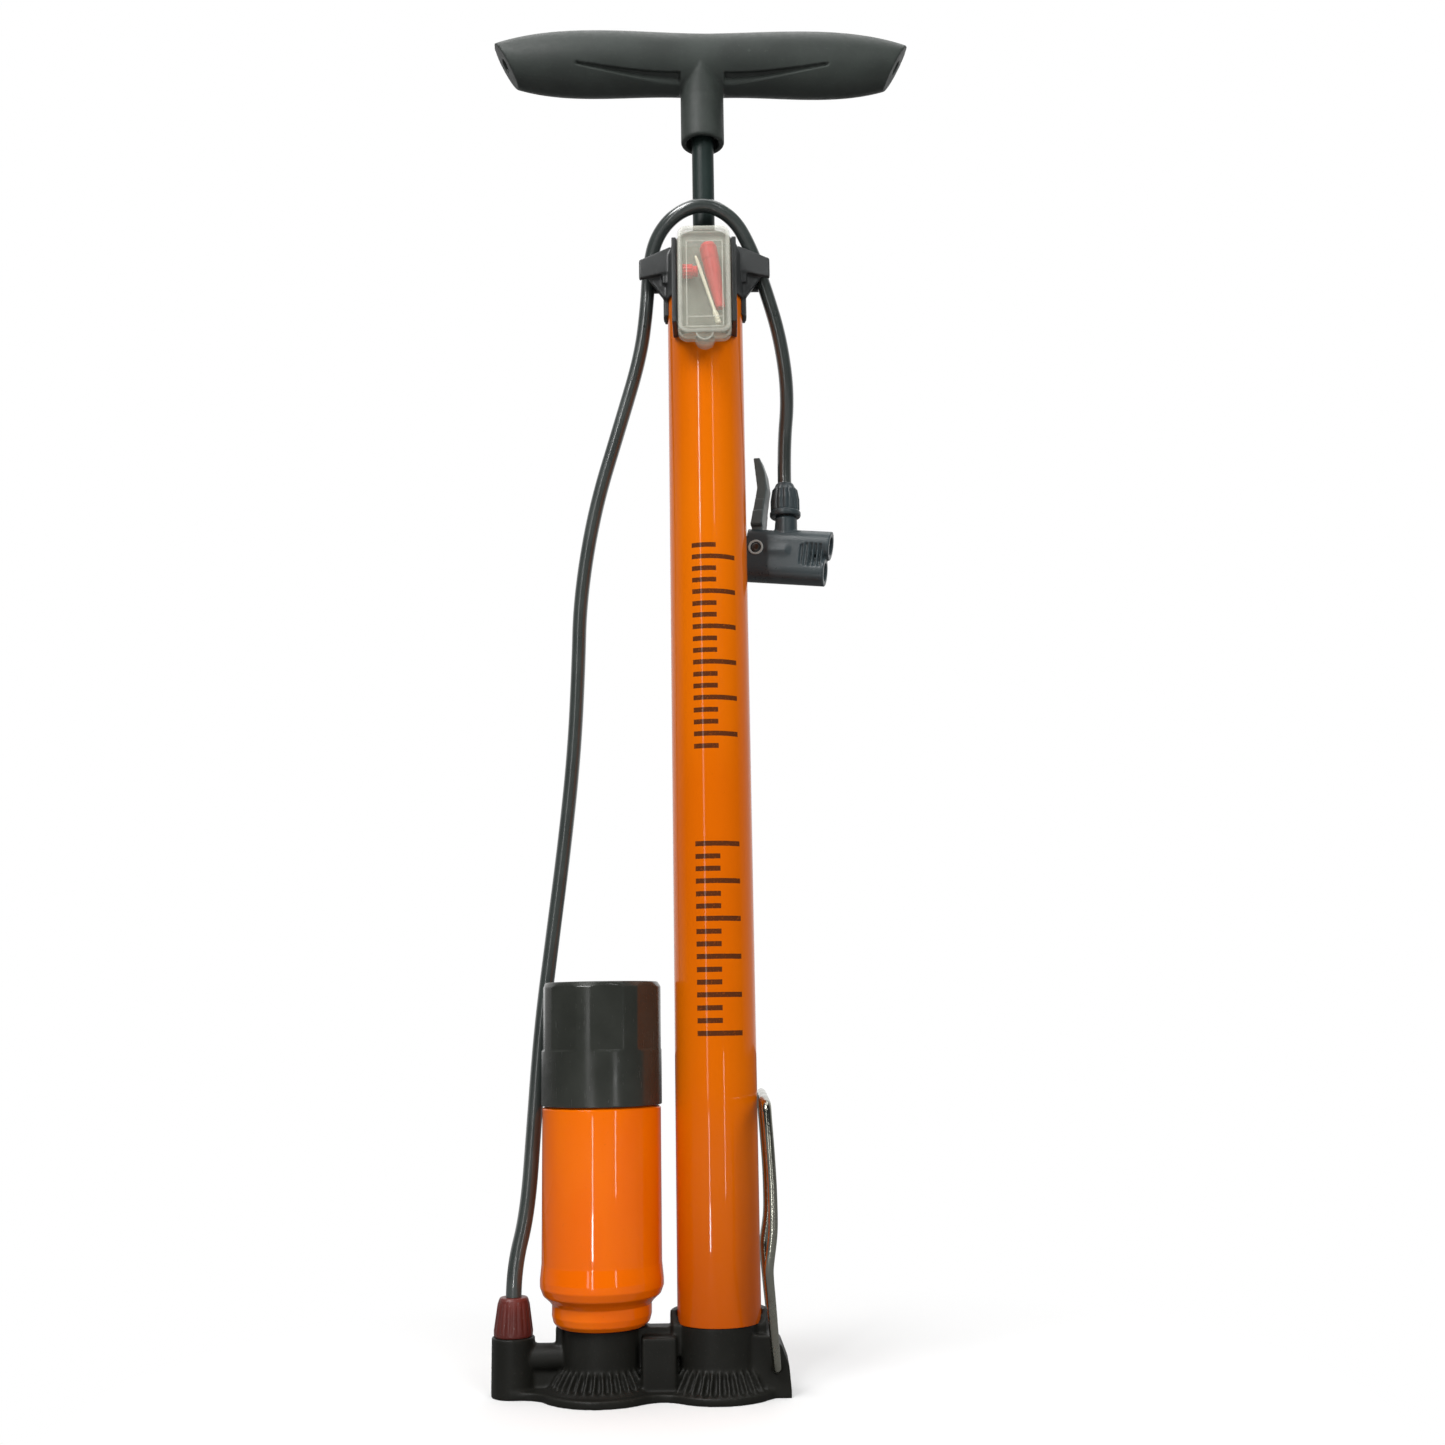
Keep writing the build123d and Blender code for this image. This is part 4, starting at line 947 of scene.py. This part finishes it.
spread = shader_mix(pale, pale.ramp(away, GLOW_NEAR[0], GLOW_FAR[0], GLOW_NEAR[1], GLOW_FAR[1]),
                    pale.shader.outputs["BSDF"], glow.outputs["Emission"])
seen = pale.node("ShaderNodeLightPath").outputs["Is Camera Ray"]
blend = shader_mix(pale, seen, dim.outputs["BSDF"], spread)
pale.feed(pale.tree.nodes["Material Output"].inputs["Surface"], blend)
floor_mesh.materials.append(pale.material)

world = bpy.data.worlds.new("studio")
world.use_nodes = True
bpy.context.scene.world = world
wt = world.node_tree
back = wt.nodes["Background"]
direction = wt.nodes.new("ShaderNodeTexCoord").outputs["Generated"]
parts = wt.nodes.new("ShaderNodeSeparateXYZ")
wt.links.new(direction, parts.inputs["Vector"])
fade = wt.nodes.new("ShaderNodeMapRange")
for key, value in zip(("From Min", "To Min", "From Max", "To Max"), WORLD_DIM + WORLD_FULL):
    fade.inputs[key].default_value = value
wt.links.new(parts.outputs["Y"], fade.inputs["Value"])
sees = wt.nodes.new("ShaderNodeLightPath").outputs["Is Camera Ray"]
bright = wt.nodes.new("ShaderNodeMath")
bright.operation = "MAXIMUM"
wt.links.new(sees, bright.inputs[0])
wt.links.new(fade.outputs["Result"], bright.inputs[1])
wt.links.new(bright.outputs["Value"], back.inputs["Strength"])
back.inputs["Color"].default_value = WHITE


def lamp(name, at, aim, width, height, power):
    """A lamp panel. Places and sizes are in metres, power in watts; the camera does not see it."""
    data = bpy.data.lights.new(name, "AREA")
    data.shape = "RECTANGLE"
    data.size, data.size_y = width, height
    data.energy = power
    obj = link(bpy.data.objects.new(name, data))
    obj.location = at
    obj.rotation_euler = (Vector(aim) - Vector(at)).to_track_quat("-Z", "Y").to_euler()
    obj.visible_camera = False
    return obj


lamp("key", (-1.05, -1.35, 2.05), (0, 0, 0.45), 1.0, 1.0, 42.0)
lamp("fill", (0.75, -1.4, 1.1), (0, 0, 0.42), 0.8, 1.0, 20.0).visible_glossy = False
lamp("strip_left", (-0.545, -1.29, 1.05), (0, 0, 0.47), 0.06, 0.42, 1.8)
lamp("strip_left_low", (-0.545, -1.29, 0.45), (0, 0, 0.25), 0.1, 0.8, 1.1)
lamp("strip_right", (0.458, -1.323, 1.05), (0, 0, 0.47), 0.05, 0.4, 0.5)
lamp("near_left_low", (-0.128, -0.346, 0.026), (-0.052, 0, 0.07), 0.016, 0.028, 0.06)
lamp("near_left", (-0.128, -0.346, 0.07), (-0.052, 0, 0.09), 0.014, 0.06, 0.03)
lamp("near_right", (0.128, -0.315, 0.095), (-0.02, 0, 0.11), 0.012, 0.09, 0.035)
lamp("top", (0.0, 0.2, 2.1), (0, 0, 0.2), 1.6, 1.4, 16.0)
